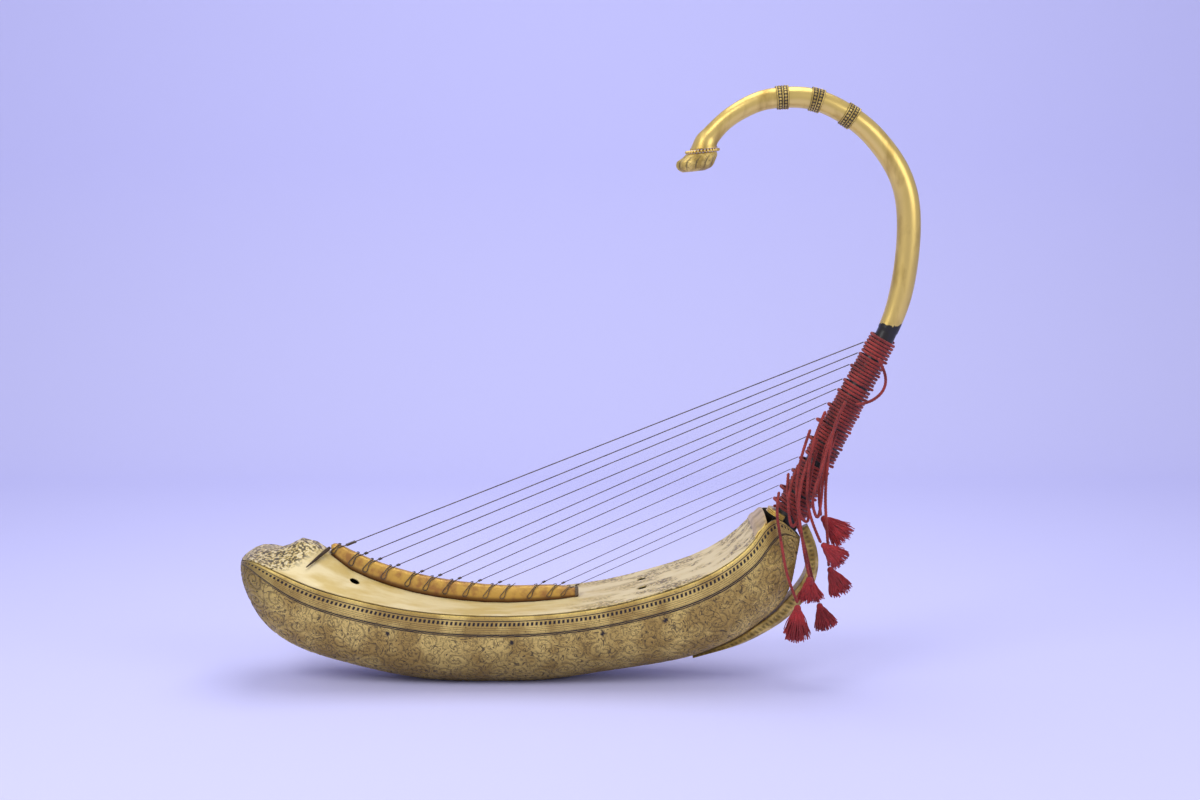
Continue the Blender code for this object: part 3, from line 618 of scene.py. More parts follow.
@dataclass(frozen=True)
class LacqueredHide:
    """Deer hide under thin gold lacquer: pale and smooth, worn to black grains at both ends."""

    name: str = "lacquered_hide"
    cream: str = "E2D09A"
    gold: str = "CDB36A"
    bare: str = "D9CBA0"
    grains: str = "2B241A"
    metallic: float = 0.08
    roughness: float = 0.5
    streak: float = 26 * MM
    streak_scale: Vector = (0.35, 1.0, 1.0)
    streak_span: Pair = (0.4, 0.62)
    patch_span: Pair = (0.46, 0.54)
    grain: float = 4.5 * MM
    black_span: Span = (0.47, 0.55, 0.0, 0.9)
    bare_span: Pair = (0.46, 0.38)
    edge_lean: float = 1.05
    edge_waves: float = 0.05
    bow_edge: Pair = (-0.193, -0.207)
    stern_edge: Span = (0.170, 0.290, 0.0, 0.8)
    relief: float = 0.6 * MM
    relief_share: float = 0.8

    def make(self) -> Material:
        """Build the material: cream and gold in soft streaks, with granular wear at the bow and the stern.

        The wear ends where x + lean * |y| + waves * noise passes an edge.

        Returns:
            The material.
        """
        material, tree, shader = principled(self.name)
        place = add(tree, "TexCoord", out="Object")
        streak = add(tree, "Mapping", {"Vector": place, "Scale": self.streak_scale})
        broad = add(tree, "TexNoise", {"Vector": streak, "Scale": 1 / self.streak, "Detail": 5.0})
        soft = add(tree, "MapRange", (broad, *self.streak_span))
        base = add(tree, "Mix", {0: soft, 6: self.cream, 7: self.gold}, 2, data_type="RGBA")
        grain = add(tree, "TexNoise", {"Vector": place, "Scale": 1 / self.grain, "Detail": 2.0})
        black = add(tree, "MapRange", (grain, *self.black_span))
        pale = add(tree, "MapRange", (grain, *self.bare_span))
        spots = add(tree, "Mix", {0: pale, 6: self.gold, 7: self.bare}, 2, data_type="RGBA")
        worn = add(tree, "Mix", {0: black, 6: spots, 7: self.grains}, 2, data_type="RGBA")
        x, y, _ = add(tree, "SeparateXYZ", (place,)).node.outputs
        side = add(tree, "Math", (y,), operation="ABSOLUTE")
        lean = add(tree, "Math", (side, self.edge_lean, x), operation="MULTIPLY_ADD")
        edge = add(tree, "Math", (broad, self.edge_waves, lean), operation="MULTIPLY_ADD")
        bow = add(tree, "MapRange", (edge, *self.bow_edge))
        stern = add(tree, "MapRange", (edge, *self.stern_edge))
        patchy = add(tree, "MapRange", (broad, *self.patch_span))
        rear = add(tree, "Math", (stern, patchy), operation="MULTIPLY")
        mask = add(tree, "Math", (bow, rear), operation="MAXIMUM")
        height = add(tree, "Math", (mask, grain), operation="MULTIPLY")
        feed(tree, shader, {
            "Base Color": add(tree, "Mix", {0: mask, 6: base, 7: worn}, 2, data_type="RGBA"),
            "Metallic": self.metallic,
            "Roughness": self.roughness,
            "Normal": add(tree, "Bump", {"Height": height, "Distance": self.relief,
                                         "Strength": self.relief_share})})
        return material


@dataclass(frozen=True)
class GiltBarWood:
    """Gold lacquer on a wooden bar: rubbed wood patches and a dark red line at its foot."""

    name: str = "gilt_bar_wood"
    gold: str = "CFA348"
    wood: str = "A9783A"
    foot: str = "4A2312"
    metallic: float = 0.35
    roughness: float = 0.38
    patch: float = 14 * MM
    patch_span: Pair = (0.45, 0.65)
    relief: float = 0.4 * MM
    relief_share: float = 0.5

    def make(self) -> Material:
        """Build the material: patches along the bar, and the foot line from the piece's own attribute.

        Returns:
            The material.
        """
        material, tree, shader = principled(self.name)
        place = add(tree, "TexCoord", out="Object")
        patches = add(tree, "TexNoise", {"Vector": place, "Scale": 1 / self.patch, "Detail": 4.0})
        share = add(tree, "MapRange", (patches, *self.patch_span))
        base = add(tree, "Mix", {0: share, 6: self.gold, 7: self.wood}, 2, data_type="RGBA")
        line = add(tree, "Attribute", out="Fac", attribute_name="recess")
        feed(tree, shader, {
            "Base Color": add(tree, "Mix", {0: line, 6: base, 7: self.foot}, 2, data_type="RGBA"),
            "Metallic": self.metallic,
            "Roughness": self.roughness,
            "Normal": add(tree, "Bump", {"Height": patches, "Distance": self.relief,
                                         "Strength": self.relief_share})})
        return material


@dataclass(frozen=True)
class SpunThread:
    """Spun thread, cotton or silk: soft sheen, with the colour broken up by its fibres."""

    name: str
    colour: str
    dark: str
    sheen: float
    fibre: float = 1.6 * MM
    fade: float = 24 * MM
    fade_span: Pair = (0.8, 1.2)
    roughness: float = 0.85
    relief: float = 0.25 * MM
    relief_share: float = 0.8

    def make(self) -> Material:
        """Build the material: fibres as fine noise in colour and bump.

        Returns:
            The material.
        """
        material, tree, shader = principled(self.name)
        place = add(tree, "TexCoord", out="Object")
        fibres = add(tree, "TexNoise", {"Vector": place, "Scale": 1 / self.fibre, "Detail": 3.0})
        faded = add(tree, "TexNoise", {"Vector": place, "Scale": 1 / self.fade})
        both = add(tree, "Math", (fibres, faded), operation="ADD")
        share = add(tree, "MapRange", (both, *self.fade_span))
        feed(tree, shader, {
            "Base Color": add(tree, "Mix", {0: share, 6: self.dark, 7: self.colour}, 2, data_type="RGBA"),
            "Roughness": self.roughness,
            "Sheen Weight": self.sheen,
            "Normal": add(tree, "Bump", {"Height": fibres, "Distance": self.relief,
                                         "Strength": self.relief_share})})
        return material


@dataclass(frozen=True)
class Lamp:
    """One soft square lamp: its place, side in metres and power in watts."""

    name: str
    at: Vector
    size: float
    power: float

    def hang(self, target: Vector) -> None:
        """Put the lamp in the scene, facing a target.

        Args:
            target: the place that it faces.
        """
        data = bpy.data.lights.new(self.name, "AREA")
        data.size = self.size
        data.energy = self.power
        item = bpy.data.objects.new(self.name, data)
        item.location = self.at
        x, y, z = np.array(target) - np.array(self.at)
        item.rotation_euler = (math.atan2(math.hypot(x, y), -z), 0.0, math.atan2(-x, y))
        bpy.context.scene.collection.objects.link(item)


@dataclass(frozen=True)
class Studio:
    """Camera at the photograph's view, a pale sweep and soft lamps."""

    eye: Vector = (0.156, -2.671, 0.7984)
    tilt: float = 81.6
    lens: float = 57.12
    sensor: float = 36.0
    paper: str = "D3D3FA"
    paper_roughness: float = 0.9
    sky: str = "DEDEF2"
    sky_strength: float = 0.68
    floor_depth: float = 2.2
    floor_width: float = 5.0
    wall_height: float = 2.6
    bend: float = 0.7
    bend_steps: int = 24
    drop: float = 0.4 * MM
    target: Vector = (0.12, 0.0, 0.3)
    lamps: tuple[Lamp, ...] = (Lamp("key", (-1.3, -1.6, 2.0), 1.3, 26.0),
                               Lamp("fill", (1.9, -1.5, 1.3), 1.4, 12.0),
                               Lamp("top", (0.2, 0.4, 2.3), 1.6, 20.0))

    def build(self) -> None:
        """Place the camera, the sweep, the lamps and the world light."""
        scene = bpy.context.scene
        scene.view_settings.view_transform = "Standard"
        data = bpy.data.cameras.new("camera")
        data.lens = self.lens
        data.sensor_width = self.sensor
        camera = bpy.data.objects.new("camera", data)
        camera.location = self.eye
        camera.rotation_euler = (math.radians(self.tilt), 0.0, 0.0)
        scene.collection.objects.link(camera)
        scene.camera = camera
        self.sweep()
        for lamp in self.lamps:
            lamp.hang(self.target)
        world = bpy.data.worlds.new("world")
        world.use_nodes = True
        back = world.node_tree.nodes["Background"]
        back.inputs["Color"].default_value = linear(self.sky)
        back.inputs["Strength"].default_value = self.sky_strength
        scene.world = world

    def sweep(self) -> None:
        """Floor that bends up into the backdrop: straight, a quarter circle, and straight again."""
        turn = np.linspace(0.0, 0.5 * math.pi, self.bend_steps)
        y = np.concatenate([[-self.floor_depth], self.floor_depth - self.bend + self.bend * np.sin(turn),
                            [self.floor_depth]])[:, None]
        z = np.concatenate([[0.0], self.bend * (1.0 - np.cos(turn)), [self.wall_height]])[:, None]
        x = np.array([[-self.floor_width, self.floor_width]])
        floor = surface("studio_sweep", np.stack(np.broadcast_arrays(x, y, z - self.drop), axis=-1))
        material, tree, shader = principled("matt_paper")
        feed(tree, shader, {"Base Color": self.paper, "Roughness": self.paper_roughness})
        floor.data.materials.append(material)


@dataclass(frozen=True)
class Carving:
    """Relief on the boat: a beaded band under the rim, and below it scrolls in staggered cells."""

    height: float = 1.0 * MM
    band_end: Pair = (1.04, 0.98)
    dot_beat: Pair = (-0.15, 0.35)
    dot_top: Pair = (0.27, 0.33)
    dot_foot: Pair = (0.52, 0.46)
    dot_depth: float = 0.95
    mouldings: Table = ((0.2, 0.03), (0.6, 0.025), (0.7, 0.025), (0.8, 0.025), (0.97, 0.035))
    moulding_depth: float = 0.6
    cell: float = 31 * MM
    cell_aspect: float = 0.85
    sway: Pair = (5 * MM, 23 * MM)
    ripple: Vector = (3 * MM, 9 * MM, 31 * MM)
    heave: Pair = (4 * MM, 19 * MM)
    vine: float = 8.0 * MM
    leaves: float = 5.0
    leaf_wind: float = 2.2 * MM
    leaf_span: Pair = (11 * MM, 17 * MM)
    leaf_share: float = 0.22
    furrow_span: Pair = (0.36, 0.10)
    swell: float = 0.35
    furrow_dark: float = 0.5

    def relief(self, run: Array, band: Array, down: Array) -> tuple[Array, Array]:
        """Carving as height and darkness.

        Spirals in neighbouring cells wind alternately left and right:
        cos(hand * angle + 2 pi * radius / vine).

        Args:
            run: length along the boat.
            band: depth under the rim as a share of the band's.
            down: distance down the side from the band.

        Returns:
            Heights in metres and recess values from 0 to 1.
        """
        inside = ramp(band, *self.band_end)
        dots = (ramp(np.cos(TURN * run / DOT_PITCH), *self.dot_beat)
                * ramp(band, *self.dot_top) * ramp(band, *self.dot_foot))
        lines = sum(bell(band, *line) for line in self.mouldings)
        sunk = np.clip(self.dot_depth * dots + self.moulding_depth * lines, 0.0, 1.0) * inside
        swing = (self.sway[0] * np.sin(run / self.sway[1])
                 + self.ripple[0] * np.sin(down / self.ripple[1] + run / self.ripple[2]))
        v = (down + self.heave[0] * np.sin(run / self.heave[1])) / (self.cell_aspect * self.cell)
        row = np.floor(v)
        u = (run + swing) / self.cell + 0.5 * (row % 2)
        column = np.floor(u)
        x, y = (u - column - 0.5) * self.cell, (v - row - 0.5) * self.cell_aspect * self.cell
        radius = np.hypot(x, y)
        angle = np.arctan2(y, x) * np.where((row + column) % 2 > 0.5, 1.0, -1.0)
        spiral = np.cos(angle + TURN * radius / self.vine)
        leaf = np.cos(self.leaves * angle + radius / self.leaf_wind) * ramp(radius, *self.leaf_span)
        carved = np.clip(0.5 + 0.5 * spiral + self.leaf_share * leaf, 0.0, 1.0)
        outside = 1.0 - inside
        furrow = ramp(carved, *self.furrow_span) * outside
        return self.height * (self.swell * outside * carved - furrow - sunk), self.furrow_dark * furrow


@dataclass
class Boat:
    """The boat-shaped body and the skin over it."""

    rim: Table = (
        (-0.357, 0.174), (-0.34, 0.181), (-0.315, 0.177), (-0.248, 0.15), (-0.194, 0.134),
        (-0.124, 0.119), (-0.04, 0.11), (0.04, 0.109), (0.1, 0.113), (0.153, 0.12), (0.229, 0.1385),
        (0.3, 0.1635), (0.346, 0.191), (0.374, 0.2185), (0.392, 0.237), (0.404, 0.239), (0.42, 0.23),
        (0.4425, 0.206))
    keel: Table = (
        (-0.357, 0.174), (-0.3565, 0.154), (-0.3475, 0.122), (-0.331, 0.091), (-0.307, 0.066),
        (-0.269, 0.044), (-0.209, 0.0245), (-0.137, 0.007), (-0.055, -0.0025), (0.01, -0.003),
        (0.06, -0.0022), (0.16, 0.011), (0.252, 0.0255), (0.295, 0.036), (0.33, 0.05), (0.361, 0.0665),
        (0.388, 0.086), (0.412, 0.108), (0.429, 0.135), (0.436, 0.165), (0.4425, 0.206))
    bow_half: Table = ((0.0, 0.0), (0.012, 0.04), (0.03, 0.058), (0.06, 0.071), (0.1, 0.078), (0.16, 0.08))
    stern_half: Table = (
        (0.0, 0.0), (0.004, 0.014), (0.012, 0.0225), (0.024, 0.0275), (0.04, 0.032), (0.052, 0.041),
        (0.066, 0.056), (0.08, 0.0655), (0.1, 0.071), (0.16, 0.0755), (0.26, 0.0795), (0.34, 0.08))
    tent: Table = (
        (-0.345, 0.0), (-0.315, 0.008), (-0.29, 0.023), (-0.262, 0.045), (-0.245, 0.042), (-0.226, 0.034),
        (-0.2, 0.022), (-0.168, 0.015), (-0.136, 0.0105), (-0.103, 0.007), (-0.042, 0.003), (0.02, 0.001),
        (0.12, 0.002), (0.2, 0.0006), (0.374, 0.0))
    tent_flank: float = 0.83
    sound_holes: Table = ((-0.192, -0.035), (-0.192, 0.035), (0.216, -0.026), (0.216, 0.026))
    hole_radius: float = 6.5 * MM
    hole_open: float = 0.42
    hole_reach: float = 4.0
    nail_holes: tuple[float, ...] = (-0.142, 0.032, 0.16, 0.248)
    nail_depth: float = 0.34
    side_height: float = 0.11
    nail_span: Pair = (4.2 * MM, 2.4 * MM)
    section_power: float = 2.3
    band_depth: float = 0.24
    band_step: float = 0.012
    band_proud: float = 1.4 * MM
    full_share: float = 0.2
    calm_half: float = 20 * MM
    calm_depth: float = 0.03
    wall: float = 7 * MM
    wall_share: float = 0.8
    skin_thickness: float = 1.6 * MM
    skin_gap: float = 0.6 * MM
    skin_inset: float = 1.5 * MM
    skin_end: float = 0.374
    skin_grid: Grid = (430, 91)
    saddle_end: float = 0.3905
    saddle_inset: float = 1 * MM
    saddle_lift: float = 3.2 * MM
    saddle_rise: float = 4 * MM
    saddle_bead: Pair = (2.2 * MM, 3 * MM)
    saddle_thickness: float = 2.5 * MM
    saddle_grid: Grid = (24, 61)
    carving: Carving = Carving()
    stations: int = 520
    across: int = 70
    inner_columns: int = 13

    def rim_line(self, count: int) -> tuple[Array, Array, Array]:
        """Rim centre line, half widths and run at stations that crowd towards both ends.

        Args:
            count: number of stations.

        Returns:
            Points in XZ, half widths and lengths from the bow.
        """
        dense = spline(self.rim, DENSE)
        total = run_along(dense)[-1]
        run = crowded(count) * total
        bow, stern = ([(math.sqrt(place), width) for place, width in table]
                      for table in (self.bow_half, self.stern_half))
        half = np.minimum(steady(bow, np.sqrt(run)), steady(stern, np.sqrt(np.maximum(total - run, 0.0))))
        return resample(dense, crowded(count)), half, run

    def section(self) -> tuple[Array, Array]:
        """Superellipse from rim to keel to rim: |side|^p + depth^p = 1.

        Returns:
            Shares of the half width, with their sign, and shares of the depth.
        """
        turn = np.linspace(0.0, 0.5 * math.pi, self.across)
        depth = np.sin(turn) ** (2.0 / self.section_power)
        width = np.cos(turn) ** (2.0 / self.section_power)
        width[-1] = 0.0
        return np.concatenate([-width, width[-2::-1]]), np.concatenate([depth, depth[-2::-1]])

    def outer(self) -> tuple[Array, Array, dict[str, Array]]:
        """Carved outer surface.

        Returns:
            Its points, how deep each lies in a hollow, and the marks that the gilding reads.
        """
        line, half, run = self.rim_line(self.stations)
        keel = resample(spline(self.keel, DENSE), crowded(self.stations))
        side, depth = self.section()
        drop = (keel - line)[:, None, :] * depth[None, :, None]
        swell = np.minimum(1.0, half / (self.full_share * half.max()))
        band_share = ramp(depth, self.band_depth + self.band_step, self.band_depth)
        proud = self.band_proud * band_share * np.sign(side)
        y = half[:, None] * side[None, :] + swell[:, None] * proud[None, :]
        grid = np.stack([line[:, None, 0] + drop[..., 0], y, line[:, None, 1] + drop[..., 1]], axis=2)
        normal = unit(np.cross(np.gradient(grid, axis=1), np.gradient(grid, axis=0)))
        girth = np.cumsum(np.linalg.norm(np.diff(grid, axis=1, prepend=grid[:, :1]), axis=2), axis=1)
        down = np.minimum(girth, girth[:, -1:] - girth)
        edge = int(np.searchsorted(depth[:self.across - 1], self.band_depth))
        along, band = np.broadcast_arrays(run[:, None], depth[None, :] / self.band_depth)
        height, dark = self.carving.relief(along, band, np.maximum(down - down[:, edge:edge + 1], 0.0))
        for place in self.nail_holes:
            near = np.hypot(grid[..., 0] - place, (depth[None, :] - self.nail_depth) * self.side_height)
            dark = np.maximum(dark, ramp(near, *self.nail_span))
        calm = np.minimum(1.0, half / self.calm_half)[:, None] * ramp(depth, 0.0, self.calm_depth)[None, :]
        grid = grid + normal * (height * calm)[..., None]
        grid[..., 2] = np.maximum(grid[..., 2], 0.0)
        return grid, dark, {"along": along, "band": band}

    def build_hull(self, material: Material) -> None:
        """Carved shell with a plain inner wall, painted dark as painted shade inside the sound box, joined
        along both rims.

        Args:
            material: its finish.
        """
        outer, dark, marks = self.outer()
        inward = outer.mean(axis=1, keepdims=True) - outer
        inward[..., 0] = 0.0
        reach = np.maximum(np.linalg.norm(inward, axis=2, keepdims=True), 1e-9)
        inner = outer + inward / reach * np.minimum(self.wall, self.wall_share * reach)
        inner[:, [0, -1], 2] = outer[:, [0, -1], 2]
        chosen = np.linspace(outer.shape[1] - 1, 0, self.inner_columns).round().astype(int)
        # Painted shade: the inner wall takes full recess, so the gilding paints it near-black lacquer.
        shaded_lining = np.ones((self.stations, self.inner_columns))
        grid = np.concatenate([outer, inner[:, chosen]], axis=1)
        recess = np.concatenate([dark, shaded_lining], axis=1)
        marks = {label: np.concatenate([field, 0.0 * shaded_lining], axis=1) for label, field in marks.items()}
        piece = surface("carved_hull", grid, wrap=True, capped=True, recess=recess, marks=marks)
        settle(piece, material, Slot.HULL, ROOT, "hull")

    def lift(self, x: Array) -> Array:
        """Height of the skin's ridge over the rims."""
        return steady(self.tent, x)

    def skin_stations(self) -> tuple[Array, Array, Array]:
        """The frame's stations that the skin spans.

        Returns:
            X, half width and rim height at each.
        """
        line, half, _ = self.rim_line(FRAME_STATIONS)
        use = slice(1, int(np.searchsorted(line[:, 0], self.skin_end)) + 1)
        return line[use, 0], half[use], line[use, 1]

    def skin_top(self, x: Array | float) -> Array:
        """Height of the skin's upper face on the centre line."""
        places, _, rims = self.skin_stations()
        return np.interp(x, places, rims + self.lift(places)) + self.skin_gap + self.skin_thickness

    def build_skin(self, material: Material) -> None:
        """Skin: straight from the rims to a flat ridge, with a hole for each sound hole.

        Points near a hole are pushed out of it: r becomes (R^4 + r^4)^(1/4).

        Args:
            material: its finish.
        """
        places, halves, rims = self.skin_stations()
        rows, columns = self.skin_grid
        x = np.linspace(places[0], places[-1], rows)
        half = np.interp(x, places, halves) - self.skin_inset
        grid_x, grid_y = np.broadcast_arrays(x[:, None], half[:, None] * np.linspace(-1.0, 1.0, columns))
        kept = np.ones((rows - 1, columns - 1), bool)
        for hole_x, hole_y in self.sound_holes:
            from_x, from_y = grid_x - hole_x, grid_y - hole_y
            radius = np.maximum(np.hypot(from_x, from_y), 1e-9)
            inside = radius < self.hole_open * self.hole_radius
            kept &= ~(inside[:-1, :-1] | inside[1:, :-1] | inside[:-1, 1:] | inside[1:, 1:])
            push = (self.hole_radius ** 4 + radius ** 4) ** 0.25 / radius
            near = radius < self.hole_reach * self.hole_radius
            grid_x = np.where(near, hole_x + from_x * push, grid_x)
            grid_y = np.where(near, hole_y + from_y * push, grid_y)
        shape = np.clip((1.0 - np.abs(grid_y) / np.interp(grid_x, x, half)) / self.tent_flank, 0.0, 1.0)
        base, peak = (np.interp(grid_x, x, np.interp(x, places, field))
                      for field in (rims, self.lift(places)))
        top = base + self.skin_gap + self.skin_thickness + peak * shape
        piece = sheet("hide_top", np.stack([grid_x, grid_y, top], axis=2), self.skin_thickness, kept)
        settle(piece, material, Slot.HIDE, ROOT, "skin_top")

    def build_saddle(self, material: Material) -> None:
        """Gilt saddle from the skin's rear end to the neck: it rises by rise * (1 - y^2) over the rims.

        Args:
            material: its finish.
        """
        line, half, _ = self.rim_line(FRAME_STATIONS)
        rows, columns = self.saddle_grid
        start = self.skin_end - 2 * MM
        x = np.linspace(start, self.saddle_end, rows)[:, None]
        across = np.linspace(-1.0, 1.0, columns)[None, :]
        width = np.interp(x, line[:, 0], half) - self.saddle_inset
        bead = self.saddle_bead[0] * bell(x, self.skin_end + 2 * MM, self.saddle_bead[1])
        arch = self.saddle_lift + self.saddle_rise * (1.0 - across ** 2)
        height = np.interp(x, line[1:, 0], line[1:, 1]) + arch + bead
        grid = np.stack(np.broadcast_arrays(x, width * across, height), axis=-1)
        settle(sheet("gilt_saddle", grid, self.saddle_thickness), material, Slot.TRIM, ROOT)


@dataclass
class StringBar:
    """The gilt bar on the skin's ridge."""

    boat: Boat
    height: Table = (
        (-0.229, 0.013), (-0.222, 0.02), (-0.195, 0.026), (-0.14, 0.026), (-0.05, 0.0245), (0.03, 0.022),
        (0.08, 0.02), (0.112, 0.014), (0.125, 0.01))
    half: Table = ((-0.229, 0.006), (-0.22, 0.01), (-0.195, 0.0125), (0.09, 0.0125), (0.125, 0.008))
    start: float = -0.229
    end: float = 0.125
    squareness: float = 0.8
    clearance: float = 0.3 * MM
    foot_span: Pair = (0.30, 0.05)
    grid: Grid = (170, 25)

    def point(self, x: Array | float, angle: Array | float, proud: float = 0.0) -> Array:
        """Points on the bar's arched section: |y / half|^(1/q) and |z / height|^(1/q) as cos and sin.

        Args:
            x: place along the bar.
            angle: from the near foot over the top to the far foot.
            proud: how far outside the bar.

        Returns:
            The points.
        """
        half = steady(self.half, x) + proud
        height = steady(self.height, x) + proud
        c, s = np.cos(angle), np.sin(angle)
        y = -half * np.sign(c) * np.abs(c) ** self.squareness
        z = self.boat.skin_top(x) + self.clearance + height * np.abs(s) ** self.squareness
        return np.stack(np.broadcast_arrays(np.asarray(x, float), y, z), axis=-1)

    def build(self, material: Material) -> None:
        """Arched rib: the section at each place along the bar, with a dark line along both feet.

        Args:
            material: its finish.
        """
        rows, columns = self.grid
        x = np.linspace(self.start, self.end, rows)[:, None]
        angle = np.linspace(0.0, math.pi, columns)[None, :]
        foot = np.broadcast_to(ramp(np.sin(angle), *self.foot_span), (rows, columns))
        piece = surface("gilt_string_bar", self.point(x, angle), wrap=True, capped=True, recess=foot)
        settle(piece, material, Slot.BAR, ROOT, "string_bar")


@dataclass
class Neck:
    """The bow-shaped neck with its bands, flared tip, collar and rear strut."""

    line: Table = (
        (0.3, 0.757), (0.304, 0.767), (0.313, 0.779), (0.33, 0.796), (0.354, 0.812), (0.379, 0.823),
        (0.414, 0.828), (0.448, 0.826), (0.496, 0.806), (0.523, 0.787), (0.548, 0.761), (0.57, 0.729),
        (0.583, 0.695), (0.588, 0.655), (0.587, 0.614), (0.582, 0.572), (0.573, 0.533), (0.562, 0.504),
        (0.524, 0.4293), (0.486, 0.3547), (0.436, 0.2565), (0.402, 0.1897), (0.357, 0.1013))
    radius: Table = (
        (0.0, 0.0195), (0.008, 0.017), (0.022, 0.0137), (0.045, 0.0127), (0.09, 0.0135), (0.15, 0.0146),
        (0.24, 0.015), (0.33, 0.016), (0.4, 0.0167), (0.5, 0.0164), (0.56, 0.0148), (0.62, 0.0139))
    grid: Grid = (420, 40)
    axis_top: Pair = (0.562, 0.504)
    axis_low: Pair = (0.393, 0.172)
    axis_radius: float = 13.9 * MM
    axis_growth: float = 0.0155
    tip_slope: float = 0.10
    tip_reach: float = 12 * MM
    bands: tuple[float, ...] = (0.136, 0.1835, 0.235)
    band_length: float = 17 * MM
    band_gap: float = 0.8 * MM
    band_floor: float = 0.5 * MM
    band_height: float = 1.2 * MM
    band_grid: Grid = (29, 96)
    band_stations: int = 900
    band_edges: Table = ((-0.44, 0.05), (0.44, 0.05), (0.0, 0.04))
    band_rows: Table = ((-0.22, 0.11), (0.22, 0.11))
    band_beads: float = 11.0
    band_bead: float = 0.9
    band_hollow: Pair = (0.15, 0.6)
    finial: Table = (
        (0.297, 0.7515, 0.0215, 0.018), (0.295, 0.747, 0.0245, 0.0205), (0.29, 0.741, 0.028, 0.0225),
        (0.2885, 0.7355, 0.0272, 0.0222), (0.288, 0.73, 0.0235, 0.019), (0.2865, 0.7262, 0.016, 0.012))
    finial_grid: Grid = (40, 72)
    finial_ribs: float = 12.0
    finial_fold: float = 0.06
    finial_dark: float = 0.75
    finial_hollow: Pair = (0.72, 0.98)
    ring_centre: Pair = (0.2985, 0.7542)
    ring_half: Pair = (0.0222, 0.0192)
    ring_beads: int = 30
    bead_grid: Grid = (7, 8)
    bead: Vector = (2.3 * MM, 2.3 * MM, 2.1 * MM)
    strut_outer: Table = (
        (0.29, 0.028), (0.324, 0.0385), (0.363, 0.052), (0.394, 0.068), (0.417, 0.083), (0.44, 0.104),
        (0.462, 0.138), (0.4685, 0.17), (0.464, 0.198), (0.453, 0.224))
    strut_inner: Table = (
        (0.29, 0.0315), (0.324, 0.045), (0.36, 0.063), (0.3865, 0.082), (0.406, 0.097), (0.425, 0.118),
        (0.446, 0.146), (0.4535, 0.172), (0.4505, 0.193), (0.442, 0.217))
    strut_half: Table = ((0.0, 0.01), (0.2, 0.017), (0.75, 0.018), (1.0, 0.012))
    strut_corners: Table = ((0.0, -0.8), (0.65, -1.0), (1.0, -0.6), (1.0, 0.6), (0.65, 1.0), (0.0, 0.8))
    strut_grid: Grid = (260, 60)
    strut_lozenge: float = 9.5 * MM
    strut_notch: float = 7 * MM
    strut_proud: float = 0.02
    lozenge_side: Pair = (0.62, 0.3)
    lozenge_top: Pair = (0.7, 1.0)
    face_side: Pair = (0.6, 0.4)
    face_top: Pair = (0.8, 1.0)
    face_dark: float = 0.9
    notch_row: Pair = (0.4, 0.25)
    notch_dark: float = 0.6
    collar_span: Pair = (0.3000, 0.3080)
    collar_gap: float = 0.7 * MM
    collar_reach: float = math.radians(70.0)
    collar_thickness: float = 13.5 * MM
    collar_ridges: float = 3.0
    collar_wave: float = 0.22
    collar_thin: float = 0.55
    collar_grid: Grid = (61, 31)

    def frame(self) -> tuple[Array, Array, Array, Array]:
        """Origin, downward axis, forward and near-side vectors of the neck's straight part.

        Returns:
            The four vectors.
        """
        down = unit(np.array(self.axis_low) - np.array(self.axis_top))
        origin = np.array([self.axis_top[0], 0.0, self.axis_top[1]])
        return (origin, np.array([down[0], 0.0, down[1]]), np.array([down[1], 0.0, -down[0]]),
                np.array([0.0, -1.0, 0.0]))

    def thickness(self, below: Array | float) -> Array | float:
        """Radius of the straight part at a distance below its top."""
        return self.axis_radius + self.axis_growth * below

    def stations(self, count: int) -> tuple[Array, Array, Array]:
        """Centre line, radius and run at evenly spaced stations.

        Args:
            count: number of stations.

        Returns:
            Points in XZ, radii and lengths from the tip.
        """
        line = spline(self.line, count)
        run = run_along(line)
        radius = steady(self.radius, run)
        down = unit(np.array(self.axis_low) - np.array(self.axis_top))
        below = (line - self.axis_top) @ down
        straight = (below > 0.0) & (line[:, 1] < self.axis_top[1])
        radius[straight] = self.thickness(below[straight])
        return line, radius, run

    def rings(self, line: Array, radius: Array, sides: int) -> Array:
        """Circles square to a line in the XZ plane.

        Args:
            line: points of the line in XZ.
            radius: radius at each point.
            sides: points of each circle.

        Returns:
            A grid of points.
        """
        tangent = unit(np.gradient(line, axis=0))
        turn = circle(sides)
        out = radius * np.cos(turn)[None, :]
        return np.stack([line[:, None, 0] - out * tangent[:, None, 1], radius * np.sin(turn)[None, :],
                         line[:, None, 1] + out * tangent[:, None, 0]], axis=2)

    def build_neck(self, material: Material) -> None:
        """Round tapering branch; its first rings tip over to the finial's slope.

        Args:
            material: its finish.
        """
        count, sides = self.grid
        line, radius, run = self.stations(count)
        grid = self.rings(line, radius[:, None], sides)
        turn = circle(sides)[None, :]
        out = -radius[:, None] * np.cos(turn)
        flat = np.stack([line[:, None, 0] + out, radius[:, None] * np.sin(turn),
                         line[:, None, 1] + self.tip_slope * out], axis=2)
        grid = grid + (flat - grid) * ramp(run, self.tip_reach, 0.0)[:, None, None]
        piece = surface("gilt_neck", grid, wrap=True, capped=True)
        settle(piece, material, Slot.NECK, ROOT, "neck")

